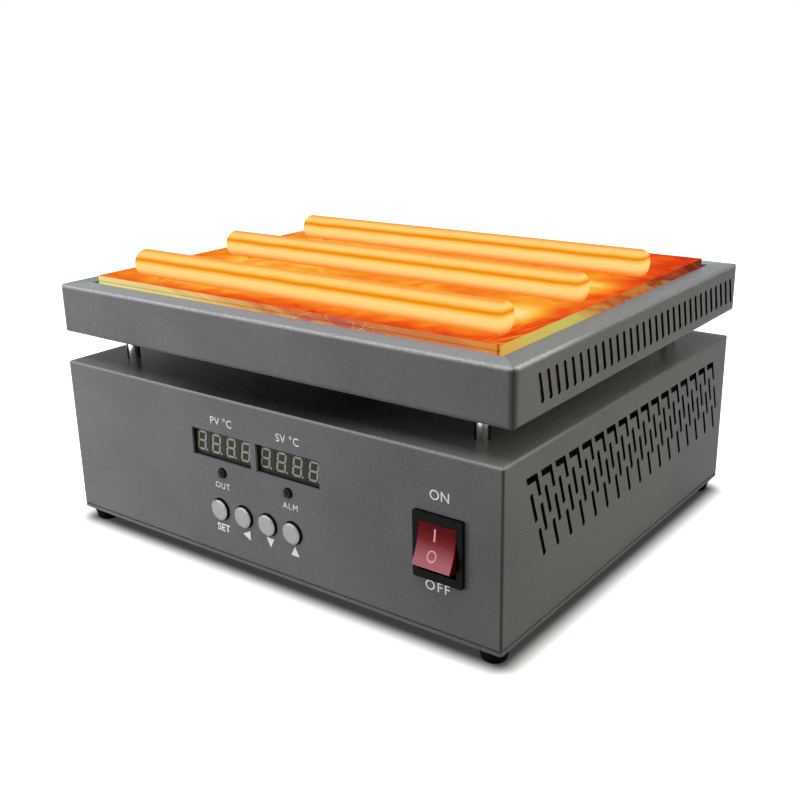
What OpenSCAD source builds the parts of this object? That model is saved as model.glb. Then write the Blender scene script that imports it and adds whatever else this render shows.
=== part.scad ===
/* [Base housing] */
// Width of the base housing across its side panels
base_w = 273.6; // [260:0.1:320]
// Depth of the base housing from the front panel to the rear panel
base_d = 240; // [228:0.5:280]
// Height of the base housing with its bottom plate
base_h = 85; // [82:0.5:110]
// Thickness of the housing's folded sheet steel
sheet_t = 1.2; // [0.8:0.1:1.6]
// Inner radius of the housing's folds
fold_r = 0.3; // [0.2:0.1:2]
// Thickness of the bottom plate
bottom_t = 1.5; // [1:0.1:2.5]
// Width of the flange folded in along the housing's lower edge
flange_w = 18; // [15:0.5:22]

/* [Side vents] */
// Distance between neighbouring vent groups
vent_pitch = 12.09; // [11.5:0.01:16]
// Distance from the front panel to the first vent group
vent_front = 17.6; // [12:0.1:30]
// Distance kept free behind the last vent group's first edge
vent_rear = 28.8; // [24:0.1:40]
// Distance from the housing's top to the top row
vent_drop = 10.6; // [8:0.1:20]
// Width of one slot
vent_slot_w = 2.5; // [1.4:0.1:2.8]
// Height of one slot
vent_slot_h = 14.6; // [10:0.1:17]
// Width of the wide cut at the top of a group
vent_bar_w = 9.1; // [6:0.1:10]
// Height of the wide cut at the top of a group
vent_bar_h = 3.4; // [2:0.1:5]
// Height of the leg that hangs from the wide cut
vent_leg_h = 11.3; // [8:0.1:13]
// Sideways lean of the slots for each unit of height
vent_lean = 0.37; // [0:0.01:0.42]

/* [Tray] */
// Width of the tray's rim on the left and right of the heating plate
tray_rim_x = 12.6; // [9:0.1:30]
// Width of the tray's rim in front of and behind the heating plate
tray_rim_y = 11.9; // [9:0.1:30]
// Height of the tray's side walls
tray_h = 26; // [24:0.5:40]
// Open height between the base housing and the tray
tray_gap = 15.3; // [12:0.1:30]
// Thickness of the tray's folded sheet steel
tray_t = 1.2; // [0.8:0.1:1.6]
// Width of the flange folded in along the tray's lower edge
tray_flange_w = 36; // [34:0.5:44]
// Inner radius of the tray's folds
tray_fold_r = 1.2; // [0.3:0.1:2]
// Outer radius of the tray's upright corners
tray_corner_r = 4; // [2.5:0.1:5]
// Thickness of the floor sheet that closes the tray
floor_t = 1.2; // [0.8:0.1:2]
// Distance between neighbouring tray slots
tray_slot_pitch = 6.89; // [5:0.01:10]
// Distance from the tray's front to the first slot
tray_slot_front = 19.2; // [10:0.1:30]
// Distance kept free behind the last slot
tray_slot_rear = 10.6; // [8:0.1:30]
// Width of a tray slot
tray_slot_w = 2.8; // [1.2:0.1:3.2]
// Distance from the tray's upper edge to a slot
tray_slot_high = 6.5; // [5:0.1:8]
// Distance from the tray's lower edge to a slot
tray_slot_low = 5.7; // [5:0.1:8]
// Sideways lean of the tray slots for each unit of height
tray_slot_lean = 0.28; // [0:0.01:0.35]

/* [Heating plate] */
// Width of the heating plate
plate_w = 250; // [242:0.5:256]
// Depth of the heating plate
plate_d = 208; // [202:0.5:214]
// Thickness of the heating plate
plate_t = 16; // [14:0.5:17]
// Height of the plate's top above the tray
plate_proud = 3.5; // [2:0.1:6]
// Gap between the plate and the tray's opening
plate_gap = 2.4; // [1.5:0.1:4]
// Thickness of the insulation board below the plate
insulation_t = 8; // [5:0.5:8]
// Distance along the tubes from their left terminal pins to the plate's supports
support_inset_x = 16; // [14:0.5:22]
// Distance from the plate's front and back to its supports
support_inset_y = 66; // [62:0.5:70]

/* [Heating tubes] */
// Outer diameter of a heating tube
tube_d = 14; // [12:0.1:15]
// Length of a heating tube with its rounded ends
tube_len = 224; // [216:1:232]
// Radius of the rounded corners at a heating tube's ends
tube_end_r = 3; // [1:0.1:5]
// Distance between neighbouring heating tubes
tube_pitch = 66; // [60:0.5:72]
// Forward shift of the middle tube from the plate's centre
tube_forward = 24; // [20:0.5:26]
// Sideways shift of the tubes, to the right, from the plate's centre
tube_shift = 8; // [0:0.5:10]
// Gap between the plate's top and the tubes above it
tube_gap = 0.2; // [0.1:0.1:1]
// Distance from a tube's end to its terminal pin
pin_inset = 14; // [12:0.5:18]
// Diameter of a terminal pin
pin_d = 4; // [3:0.1:4.2]

/* [Posts and feet] */
// Diameter of the posts between base and tray
post_d = 7; // [6:0.1:9]
// Distance from the base's side to a post's axis
post_inset_x = 25.3; // [24:0.1:28]
// Distance from the base's front or back to a post's axis
post_inset_y = 24; // [22:0.1:28]
// Height of a rubber foot
foot_h = 7.5; // [6:0.1:14]
// Diameter of a foot where it meets the bottom plate
foot_top_d = 15; // [14:0.1:16.4]
// Diameter of a foot on the table
foot_bottom_d = 11.4; // [10.8:0.1:13]
// Distance from the base's edges to a foot's axis
foot_inset = 8.6; // [8.4:0.1:9.2]

/* [Front panel] */
// Width of a display window
window_w = 39.6; // [36:0.1:41]
// Height of a display window
window_h = 14.2; // [12:0.1:14.8]
// Distance between the centres of the two windows
window_pitch = 43.1; // [42.8:0.1:46]
// Sideways place of the point midway between the windows
window_mid_x = -1.5; // [-4:0.1:4]
// Height of the windows' centres above the base's underside
window_z = 59.2; // [58:0.1:62]
// Height of the indicator lamps above the base's underside
lamp_z = 46; // [44:0.1:47]
// Diameter of an indicator lamp
lamp_d = 5; // [4:0.1:5.4]
// Height of the buttons above the base's underside
button_z = 26; // [24:0.1:30]
// Distance between neighbouring buttons
button_pitch = 15.9; // [15:0.1:18]
// Sideways place of the point midway between the buttons
button_mid_x = -2.1; // [-4:0.1:4]
// Diameter of a button cap
button_d = 10.7; // [9:0.1:11]
// Gap around a button cap in its hole
button_gap = 0.65; // [0.3:0.05:0.8]
// Height of a button cap in front of the panel
button_proud = 2; // [1.5:0.1:3]
// Travel of a button
button_travel = 0.8; // [0.4:0.1:0.9]

/* [Mains switch] */
// Distance from the base's right side to the switch's centre
switch_inset = 30.9; // [28:0.1:40]
// Height of the switch's centre above the base's underside
switch_z = 42; // [36:0.1:48]
// Width of the switch's frame
bezel_w = 25.5; // [24.5:0.1:28]
// Height of the switch's frame
bezel_h = 31; // [30:0.1:34]
// Thickness of the frame in front of the panel
bezel_t = 2; // [1.5:0.1:3]
// Width of the rocker
rocker_w = 19.2; // [17:0.1:19.4]
// Height of the rocker when it stands level
rocker_h = 19.2; // [18:0.1:20.6]
// Angle between the rocker's level place and either end stop
rocker_tilt = 16; // [8:0.5:16]

/* [Mains inlet] */
// Distance from the base's right side to the inlet's centre
inlet_inset = 46.8; // [44:0.1:60]
// Height of the inlet's centre above the base's underside
inlet_z = 40; // [34:0.1:48]
// Width of the inlet's flange
inlet_flange_w = 50; // [48:0.1:52]
// Height of the inlet's flange
inlet_flange_h = 37; // [36.5:0.1:40]
// Width of the socket
socket_w = 24.4; // [24:0.1:25]
// Height of the socket
socket_h = 16.6; // [16:0.1:17]
// Depth of the socket
socket_depth = 17; // [15:0.5:18]
// Width of the fuse drawer
drawer_w = 23.4; // [22.8:0.1:24]
// Height of the fuse drawer
drawer_h = 8.2; // [8:0.1:8.6]
// Distance that the fuse drawer slides out
drawer_travel = 13; // [8:0.5:14]

/* [Hidden] */
$fn = 48;

// Colours of the painted sheet, the metals, the plastics and the leads
paint = "#6b6b6f";
steel = "#b9bcc0";
alloy = "#a8aaad";
hot_cream = "#ffd27a";
black = "#161616";
ceramic = "#e8e2d4";
board_green = "#1f6b3a";
brass_tone = "#c9a24a";
button_grey = "#b7b9bc";
lamp_green = "#12301c";
lamp_red = "#3a0c12";
rocker_red = "#b3121c";
glass_tone = "#dfe6e8";
sleeve = "#d8d2c2";
fine_sleeve = "#b9a24b";
lead_brown = "#7a2b20";
lead_green = "#5c8a2e";
ribbon_grey = "#9a9da3";
block_brown = "#2a2622";
iron = "#5a5c60";
coil_tape = "#c8b23c";
can_blue = "#22304a";
relay_blue = "#2b62a8";
plug_green = "#3c8a4c";
plug_white = "#e6e2d6";

// Clearances: a thread or shank in its hole, a piece in its cut-out, wires beside a wall,
// and the small overshoot that carries a cut through a face
screw_play = 0.1;
part_play = 0.25;
wire_play = 0.1;
cut = 1;

// Outer size of the tray
tray_w = plate_w + 2 * (plate_gap + tray_rim_x);
tray_d = plate_d + 2 * (plate_gap + tray_rim_y);

// Levels from the table upwards
z_base = foot_h;
z_inside = z_base + bottom_t;
bend_r = fold_r + sheet_t;
tray_bend_r = tray_fold_r + tray_t;
z_flange = z_inside + sheet_t;
z_base_top = z_base + base_h;
z_lid_under = z_base_top - sheet_t;
z_tray = z_base_top + tray_gap;
z_floor = z_tray + tray_t;
z_floor_top = z_floor + floor_t;
z_tray_top = z_tray + tray_h;
z_plate_top = z_tray_top + plate_proud;
z_plate = z_plate_top - plate_t;
z_tube = z_plate_top + tube_gap + tube_d / 2;

// Faces of the housing
y_front = -base_d / 2;
y_front_in = y_front + sheet_t;
y_rear = base_d / 2;
y_rear_in = y_rear - sheet_t;

// Screw sizes: shank diameter, head diameter and head height
m3 = [3, 5.6, 1.8];
m4 = [4, 7, 2.2];
nut_m3 = [5.5, 2.4];
nut_m4 = [7, 3.2];
m3_hole = m3[0] + 2 * screw_play;
m4_hole = m4[0] + 2 * screw_play;
recess_depth = 0.9;
recess_w = 0.8;
recess_share = 0.55;
head_straight = 0.6;
head_top = 0.72;
screw_end = 3;
thread_end = 1;
end_flat = 0.1;

// Vent group: sideways places and falls of its three slots
vent_shift = [4.8, 13.7, 12.7];
vent_fall = [8.2, 15.2, 26.7];

// Feet: height of the screw head's seat, room around the head, edge at the table
foot_seat = 3.6;
foot_pocket_play = 0.3;
foot_edge = 0.9;
foot_pocket_d = m4[1] + 2 * foot_pocket_play;

// Places that repeat
foot_x = base_w / 2 - foot_inset;
foot_y = base_d / 2 - foot_inset;
post_x = base_w / 2 - post_inset_x;
post_y = base_d / 2 - post_inset_y;
post_reach = 5;
cover_screw_side = base_w / 2 - flange_w / 2;
cover_screw_end = base_d / 2 - flange_w / 2;
cover_screw_x = 60;
cover_screw_spots = [[cover_screw_side, 0], [-cover_screw_side, 0],
    [cover_screw_x, cover_screw_end], [-cover_screw_x, cover_screw_end],
    [cover_screw_x, -cover_screw_end], [-cover_screw_x, -cover_screw_end]];
floor_play = 0.3;
floor_w = plate_w + 2 * plate_gap - 2 * floor_play;
floor_d = plate_d + 2 * plate_gap - 2 * floor_play;
floor_edge = 8;
tray_screw_x = 50;
tray_screw_spots = [[floor_w / 2 - floor_edge, 0], [floor_edge - floor_w / 2, 0],
    [tray_screw_x, floor_d / 2 - floor_edge], [-tray_screw_x, floor_d / 2 - floor_edge],
    [tray_screw_x, floor_edge - floor_d / 2], [-tray_screw_x, floor_edge - floor_d / 2]];

// Heating tubes and their terminals
tube_y = [-tube_forward - tube_pitch, -tube_forward, tube_pitch - tube_forward];
pin_reach = tube_len / 2 - pin_inset;
pin_x = [tube_shift - pin_reach, tube_shift + pin_reach];
support_x = -pin_x[0] - support_inset_x;
support_y = plate_d / 2 - support_inset_y;
plate_corner = 1;
soft_play = 1;
bush_d = 7;
bush_short = 1;
bush_flange_d = 10;
bush_flange_t = 1.2;
link_w = 8;
link_t = 0.8;
z_link = z_plate - bush_flange_t - link_t;
z_terminal_nut = z_link - nut_m4[1];
z_pin_end = z_terminal_nut - thread_end;
terminal_hole_d = 13;
z_hot_lead = z_link + link_t / 2 - end_flat;

// Supports, probe and cut-out below the plate
support_d = 10;
support_play = 0.6;
support_screw_reach = 7;
sensor_row = 71;
probe_x = 12;
probe_at = [probe_x, plate_d / 2 - sensor_row];
probe_d = 6;
probe_reach = 9;
probe_head_d = 9;
probe_head_h = 2.6;
cutout_x = -40;
cutout_at = [cutout_x, plate_d / 2 - sensor_row];
cutout_d = 16;
cutout_h = 6;
cutout_ear_w = 30;
cutout_ear_d = 8;
cutout_ear_t = 1;
cutout_screw_x = 11.5;
cutout_screw_reach = 5;
cutout_blade = [4, 0.8, 2.6];

// Conduit that carries the leads up to the tray
conduit_inset = 12;
conduit_y = plate_d / 2 - conduit_inset;
conduit_d = 14;
conduit_bore = 11;
conduit_nut = [19, 3.5];
conduit_low = 6;
conduit_spread = 2.8;
conduit_back = 2;

// Display board and what it carries
window_x = [window_mid_x - window_pitch / 2, window_mid_x + window_pitch / 2];
display_recess = 1.3;
display_d = 7;
display_seam = 0.5;
display_w = window_pitch - display_seam;
display_h = 16;
segment_pitch = 10;
well_wall = 0.4;
well_depth = 0.1;
well_margin = 0.7;
board_t = 1.6;
y_board = y_front_in + display_recess + display_d;
board_margin = 9;
board_x0 = window_x[0] - display_w / 2 - board_margin;
board_x1 = window_x[1] + display_w / 2 + board_margin;
board_below = 14;
board_above = 6;
board_z0 = z_base + button_z - board_below;
board_z1 = z_base + window_z + display_h / 2 + board_above;
board_hole_inset = 4;
stud_d = 6;
stud_thread_d = 3;
lamp_x = window_x;
lamp_play = 0.3;
lamp_flange_d = 5.8;
lamp_flange_t = 1;
lamp_dome = 0.2;

// Keys behind the button caps
button_x = [for (i = [-1.5:1:1.5]) button_mid_x + i * button_pitch];
button_h = z_base + button_z;
key_w = 12;
key_d = 3.6;
key_bore_d = 6.8;
key_chamber_d = 9;
key_lip = 0.7;
plunger_d = 6.4;
plunger_flange_d = 8.4;
plunger_flange_t = 0.6;
plunger_spare = 0.1;
y_key = y_board - key_d;
y_cap = y_front - button_proud;
cap_behind = 0.8;
y_cap_back = y_front_in + cap_behind;
cap_dome = 0.5;
cap_edge = 1;
flange_play = 0.05;
key_back = key_d - key_lip - flange_play - plunger_flange_t - button_travel - plunger_spare;

// Rocker switch
switch_x = base_w / 2 - switch_inset;
switch_h = z_base + switch_z;
switch_wall = 1.3;
bezel_corner = 0.8;
switch_body_w = rocker_w + 2 * switch_wall;
switch_body_h = 27.2;
switch_body_d = 22;
rocker_side_play = 0.25;
rocker_well_w = rocker_w + 2 * rocker_side_play;
rocker_end_play = 2;
rocker_well_h = rocker_h + 2 * rocker_end_play;
rocker_well_d = 14;
rocker_front = 7.3;
rocker_back = 4;
rocker_hollow_r = 34;
rocker_dish = 1.45;
rocker_overlap = 0.5;
rocker_shoulder = [0.3, 0.7];
rocker_nose = 2;
pivot_depth = 2.4;
pivot_d = 3;
pivot_play = 0.08;
pivot_reach = 0.75;
y_pivot = y_front + pivot_depth;
blade = [6.3, 0.8, 10];
blade_root = 3.8;
blade_x = 6;
blade_z = 7;

// Mains inlet with its fuse drawer
inlet_x = base_w / 2 - inlet_inset;
inlet_h = z_base + inlet_z;
inlet_flange_t = 2.5;
inlet_flange_corner = 2;
socket_corner = 3.5;
inlet_body_w = 30;
inlet_body_h = 32.6;
inlet_body_d = 21;
inlet_screw_x = 20;
socket_up = 6.4;
drawer_down = 10.6;
drawer_play = 0.2;
drawer_stay = 3;
drawer_depth = drawer_travel + drawer_stay;
drawer_face_t = 1.2;
drawer_lip = 1;
finger_notch = [8, 0.6, 1.2];
pin_blade = [2, 4];
pin_spread = 7;
pin_drop = 2;
earth_rise = 2;
pin_short = 3;
pin_tail = 6;
fuse_d = 5;
fuse_len = 20;
fuse_cap_len = 5;
fuse_neck = 0.25;
fuse_seat = 0.1;
fuse_wall = 2;
fuse_in = inlet_flange_t - drawer_depth + fuse_wall + fuse_d / 2;

// Heat sink and power relay on the bottom plate
sink_y = -6;
sink_w = 56;
sink_len = 86;
sink_base_t = 5;
sink_fin_t = 2;
sink_fin_h = 19;
sink_fins = 9;
sink_foot_w = 9;
sink_foot_t = 2;
sink_side_gap = 2;
sink_screw_inset = 10;
sink_x = base_w / 2 - flange_w - sink_foot_w - sink_w / 2 - sink_side_gap;
relay_w = 45;
relay_len = 58;
relay_h = 22;
relay_step = 7;
relay_corner_w = 8;
relay_step_len = 13;
relay_screw_y = 24;
z_sink_base = z_inside + sink_fin_h;
z_sink_top = z_sink_base + sink_base_t;

// Control board on spacers
control_side_gap = 6.8;
control_w = 92;
control_x = flange_w + control_side_gap + control_w / 2 - base_w / 2;
control_y = -8;
control_len = 104;
spacer_h = 8;
spacer_d = 7;
spacer_inset = 5;
z_control = z_inside + spacer_h;
z_control_top = z_control + board_t;

// Parts on the control board: sizes, and places from the board's middle
transformer = [34, 30, 26];
bobbin = [26, 34, 16];
bobbin_raise = 5;
transformer_at = [-22, 26];
capacitor_d = 13;
capacitor_h = 20;
capacitor_at = [[16, 12], [16, 30]];
small_relay = [19, 15, 15];
small_relay_at = [-26, -12];
chip = [18, 12, 3.2];
chip_at = [8, -12];
plug_strip = [42, 10, 11];
plug_strip_inset = 6;
ribbon_plug = [22, 8, 9];
ribbon_inset = 14;

// Terminal block and earth stud
block_ahead = 21.2;
block_y = conduit_y - block_ahead;
block_w = 46;
block_len = 22;
block_h = 16;
block_low = 9.6;
block_rib = 2;
block_screw_h = 3;
block_ways = 3;
block_pitch = 14;
block_rear = block_y + block_len / 2;
block_front = block_y - block_len / 2;
earth_ahead = 11.2;
earth_at = [40, base_d / 2 - flange_w - earth_ahead];
earth_stud_h = 12;
earth_nut_raise = 5;

// Leads
lead_d = 2.2;
fine_lead_d = 1.6;
lead_sides = 8;
lead_bend = 6;
lead_corner = 0.45;
lead_run_z = z_lid_under - 12;
stub = 5;
z_floor_run = z_inside + 8;
floor_run_x = 20;
earth_bend = [14, 26];
ring_tab = 8;
ring_tab_w = 3;
hot_side = pin_x[1] + 10;
rise_y = conduit_y + conduit_back;
z_block_lead = z_inside + 5;
z_heater_low = z_lid_under - 30;
z_sensor_high = z_lid_under - 14;
z_sensor_low = z_lid_under - 24;
block_approach = 12;
sensor_bend = [20, 26];
sensor_spread = 12;
ribbon_t = 1;
ribbon_w = 16;
ribbon_shift = 12;
ribbon_x = window_x[0] - ribbon_shift;

// Plain shapes

// Rectangle with round corners, centred
module round_rect(w, h, r) {
    square([w - 2 * r, h], center = true);
    square([w, h - 2 * r], center = true);
    for (x = [-1, 1], y = [-1, 1])
        translate([x * (w / 2 - r), y * (h / 2 - r)]) circle(r);
}

// Box whose edges are all rounded, standing on z = 0
module folded_box(w, d, h, r, corner_r) {
    intersection() {
        linear_extrude(h) round_rect(w, d, corner_r);
        translate([0, d / 2, h / 2]) rotate([90, 0, 0]) linear_extrude(d) round_rect(w, h, r);
        translate([-w / 2, 0, h / 2]) rotate([90, 0, 90]) linear_extrude(w) round_rect(d, h, r);
    }
}

// Open slot that leans towards the back on its way down; its top centre is the origin
module leaning_slot(w, h, lean) {
    polygon([[-w / 2, -w / 2], [w / 2, -w / 2],
        [w / 2 + lean * (h - w), w / 2 - h], [lean * (h - w) - w / 2, w / 2 - h]]);
    translate([0, -w / 2]) circle(w / 2);
    translate([lean * (h - w), w / 2 - h]) circle(w / 2);
}

// Cuts an outline drawn in depth and height through both side walls
module through_sides(w) {
    translate([-w / 2 - cut, 0, 0]) rotate([90, 0, 90]) linear_extrude(w + 2 * cut) children();
}

// Cross-headed screw: head above z = 0, shank below
module screw(size, reach) {
    straight = size[2] * head_straight;
    difference() {
        union() {
            cylinder(h = straight, d = size[1]);
            translate([0, 0, straight])
                cylinder(h = size[2] - straight, d1 = size[1], d2 = size[1] * head_top);
            translate([0, 0, -reach]) cylinder(h = reach, d = size[0]);
        }
        for (turn = [0, 90])
            rotate(turn) translate([0, 0, size[2] - recess_depth / 2 + cut / 2])
                cube([size[1] * recess_share, recess_w, recess_depth + cut], center = true);
    }
}

// Hexagon nut standing on z = 0
module nut(size, hole_d) {
    difference() {
        cylinder(h = size[1], d = size[0] / cos(30), $fn = 6);
        translate([0, 0, -cut]) cylinder(h = size[1] + 2 * cut, d = hole_d);
    }
}

// Upright round rod from z to z + h at a place, for holes and parts
module rod(at, z, h, d) {
    translate([at[0], at[1], z]) cylinder(h = h, d = d);
}

// Route through a list of points with each corner rounded
function unit(v) = v / norm(v);
function bent_corner(p, i) =
    let (back = p[i - 1] - p[i], ahead = p[i + 1] - p[i],
        reach = min(lead_bend, norm(back) * lead_corner, norm(ahead) * lead_corner),
        a = p[i] + unit(back) * reach, b = p[i] + unit(ahead) * reach)
    [a, a / 4 + p[i] / 2 + b / 4, b];
function route(p) = concat([p[0]],
    [for (i = [1:1:len(p) - 2]) each bent_corner(p, i)], [p[len(p) - 1]]);

// Direction of a route at each point, and normals carried along it without twist
function heading(p, j) = unit(p[min(j + 1, len(p) - 1)] - p[max(j - 1, 0)]);
function across(v, t) = unit(v - (v * t) * t);
function normals(p, j, last) = j == len(p) ? [] :
    let (n = across(last, heading(p, j))) concat([n], normals(p, j + 1, n));

// Lead that follows a list of points
module lead(points, d) {
    p = route(points);
    n = normals(p, 0, abs(heading(p, 0)[2]) < 0.7 ? [0, 0, 1] : [1, 0, 0]);
    rings = [for (j = [0:len(p) - 1], k = [0:lead_sides - 1])
        p[j] + d / 2 * (cos(k * 360 / lead_sides) * n[j]
            + sin(k * 360 / lead_sides) * cross(heading(p, j), n[j]))];
    last = (len(p) - 1) * lead_sides;
    polyhedron(rings, concat(
        [[for (k = [0:lead_sides - 1]) k]],
        [for (j = [0:len(p) - 2], k = [0:lead_sides - 1])
            let (a = j * lead_sides + k, b = j * lead_sides + (k + 1) % lead_sides)
            [a, a + lead_sides, b + lead_sides, b]],
        [[for (k = [lead_sides - 1:-1:0]) last + k]]));
}

// Places at the four corners of a rectangle
function corners(x, y) = [[x, y], [-x, y], [x, -y], [-x, -y]];

// Base housing

// One vent group: a wide cut with a leg, and three leaning slots below it
module vent_group() {
    polygon([[0, 0], [vent_bar_w, 0], [vent_bar_w + vent_lean * vent_leg_h, -vent_leg_h],
        [vent_bar_w + vent_lean * vent_leg_h - vent_slot_w, -vent_leg_h],
        [vent_bar_w + vent_lean * vent_bar_h - vent_slot_w, -vent_bar_h],
        [vent_lean * vent_bar_h, -vent_bar_h]]);
    for (i = [0:2])
        translate([vent_shift[i], -vent_fall[i]]) leaning_slot(vent_slot_w, vent_slot_h, vent_lean);
}

module base_cover() {
    inner_w = base_w - 2 * sheet_t;
    inner_d = base_d - 2 * sheet_t;
    cover_h = base_h - bottom_t;
    groups = floor((base_d - vent_front - vent_rear) / vent_pitch);
    color(paint) difference() {
        translate([0, 0, z_inside]) folded_box(base_w, base_d, cover_h, bend_r, bend_r);
        translate([0, 0, z_flange]) folded_box(inner_w, inner_d, cover_h - 2 * sheet_t, fold_r, fold_r);
        translate([0, 0, z_inside - cut]) linear_extrude(sheet_t + 2 * cut)
            round_rect(base_w - 2 * flange_w, base_d - 2 * flange_w, bend_r);
        // Side vents
        through_sides(base_w) for (i = [0:groups])
            translate([y_front + vent_front + i * vent_pitch, z_base_top - vent_drop]) vent_group();
        // Display windows, lamp holes and button holes
        for (x = window_x)
            translate([x, y_front, z_base + window_z])
                cube([window_w, 2 * sheet_t + cut, window_h], center = true);
        for (x = lamp_x) panel_hole(x, lamp_z, lamp_d + 2 * lamp_play);
        for (x = button_x) panel_hole(x, button_z, button_d + 2 * button_gap);
        // Cut-outs for the switch and the inlet
        translate([switch_x, y_front, switch_h])
            cube([switch_body_w + 2 * part_play, 2 * sheet_t + cut, switch_body_h + 2 * part_play],
                center = true);
        translate([inlet_x, y_rear, inlet_h])
            cube([inlet_body_w + 2 * part_play, 2 * sheet_t + cut, inlet_body_h + 2 * part_play],
                center = true);
        for (side = [-1, 1])
            translate([inlet_x + side * inlet_screw_x, y_rear + cut, inlet_h]) rotate([90, 0, 0])
                cylinder(h = sheet_t + 2 * cut, d = m3_hole);
        // Holes for posts, conduit, feet and bottom screws
        for (at = corners(post_x, post_y)) rod(at, z_lid_under - cut, sheet_t + 2 * cut, m3_hole);
        rod([0, conduit_y], z_lid_under - cut, sheet_t + 2 * cut, conduit_d + 2 * screw_play);
        for (at = corners(foot_x, foot_y)) rod(at, z_inside - cut, sheet_t + 2 * cut, m4_hole);
        for (at = cover_screw_spots) rod(at, z_inside - cut, sheet_t + 2 * cut, m3_hole);
    }
}

// Round hole through the front panel
module panel_hole(x, z, d) {
    translate([x, y_front_in + cut, z_base + z]) rotate([90, 0, 0]) cylinder(h = sheet_t + 2 * cut, d = d);
}

module bottom_plate() {
    color(paint) difference() {
        translate([0, 0, z_base]) linear_extrude(bottom_t) round_rect(base_w, base_d, bend_r);
        for (at = corners(foot_x, foot_y)) rod(at, z_base - cut, bottom_t + 2 * cut, m4_hole);
        for (at = cover_screw_spots) rod(at, z_base - cut, bottom_t + 2 * cut, m3_hole);
        for (at = sink_screw_spots()) rod(at, z_base - cut, bottom_t + 2 * cut, m4_hole);
        for (at = spacer_spots()) rod(at, z_base - cut, bottom_t + 2 * cut, m3_hole);
    }
}

module feet() {
    color(black) for (at = corners(foot_x, foot_y))
        translate([at[0], at[1], 0]) rotate_extrude()
            polygon([[m4_hole / 2, foot_seat], [foot_pocket_d / 2, foot_seat], [foot_pocket_d / 2, 0],
                [foot_bottom_d / 2 - foot_edge, 0], [foot_bottom_d / 2, foot_edge],
                [foot_top_d / 2, foot_h], [m4_hole / 2, foot_h]]);
}

module foot_screws() {
    reach = foot_h - foot_seat + bottom_t + sheet_t + screw_end;
    color(steel) for (at = corners(foot_x, foot_y))
        translate([at[0], at[1], foot_seat]) rotate([180, 0, 0]) screw(m4, reach);
}

module cover_screws() {
    color(steel) for (at = cover_screw_spots)
        translate([at[0], at[1], z_base]) rotate([180, 0, 0]) screw(m3, bottom_t + sheet_t + screw_end);
}

// Posts between base and tray

module posts() {
    color(steel) for (at = corners(post_x, post_y))
        translate([at[0], at[1], z_base_top]) difference() {
            cylinder(h = tray_gap, d = post_d);
            translate([0, 0, -cut]) cylinder(h = tray_gap + 2 * cut, d = m3_hole);
        }
}

module post_screws_lower() {
    color(steel) for (at = corners(post_x, post_y))
        translate([at[0], at[1], z_lid_under]) rotate([180, 0, 0]) screw(m3, sheet_t + post_reach);
}

module post_screws_upper() {
    color(steel) for (at = corners(post_x, post_y))
        translate([at[0], at[1], z_floor_top]) screw(m3, floor_t + tray_t + post_reach);
}

module lead_conduit() {
    low = z_lid_under - conduit_low;
    high = z_floor_top + conduit_nut[1] + thread_end;
    color(steel) translate([0, conduit_y, low]) difference() {
        cylinder(h = high - low, d = conduit_d);
        translate([0, 0, -cut]) cylinder(h = high - low + 2 * cut, d = conduit_bore);
    }
}

module conduit_nuts() {
    levels = [z_lid_under - conduit_nut[1], z_base_top, z_tray - conduit_nut[1], z_floor_top];
    color(steel) for (z = levels)
        translate([0, conduit_y, z]) nut(conduit_nut, conduit_d + 2 * screw_play);
}

// Tray

module tray_shell() {
    slots = floor((tray_d - tray_slot_front - tray_slot_rear) / tray_slot_pitch);
    color(paint) difference() {
        translate([0, 0, z_tray]) folded_box(tray_w, tray_d, tray_h, tray_bend_r, tray_corner_r);
        translate([0, 0, z_floor])
            folded_box(tray_w - 2 * tray_t, tray_d - 2 * tray_t, tray_h - 2 * tray_t, tray_fold_r,
                tray_corner_r - tray_t);
        translate([0, 0, z_tray_top - tray_t - cut]) linear_extrude(tray_t + 2 * cut)
            square([plate_w + 2 * plate_gap, plate_d + 2 * plate_gap], center = true);
        translate([0, 0, z_tray - cut]) linear_extrude(tray_t + 2 * cut)
            round_rect(tray_w - 2 * tray_flange_w, tray_d - 2 * tray_flange_w, tray_bend_r);
        // Slots in both side walls
        through_sides(tray_w) for (i = [0:slots])
            translate([tray_slot_front - tray_d / 2 + i * tray_slot_pitch,
                z_tray_top - tray_slot_high])
                leaning_slot(tray_slot_w, tray_h - tray_slot_high - tray_slot_low, tray_slot_lean);
        for (at = corners(post_x, post_y)) rod(at, z_tray - cut, tray_t + 2 * cut, m3_hole);
        for (at = tray_screw_spots) rod(at, z_tray - cut, tray_t + 2 * cut, m3_hole);
        rod([0, conduit_y], z_tray - cut, tray_t + 2 * cut, conduit_d + 2 * screw_play);
    }
}

module tray_floor() {
    color(steel) difference() {
        translate([0, 0, z_floor]) linear_extrude(floor_t)
            round_rect(floor_w, floor_d, tray_corner_r - tray_t);
        for (at = concat(corners(post_x, post_y), tray_screw_spots))
            rod(at, z_floor - cut, floor_t + 2 * cut, m3_hole);
        for (at = corners(support_x, support_y))
            rod(at, z_floor - cut, floor_t + 2 * cut, m4_hole);
        rod([0, conduit_y], z_floor - cut, floor_t + 2 * cut, conduit_d + 2 * screw_play);
    }
}

module tray_screws() {
    color(steel) for (at = tray_screw_spots)
        translate([at[0], at[1], z_tray]) rotate([180, 0, 0]) screw(m3, tray_t + floor_t + screw_end);
}

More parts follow.
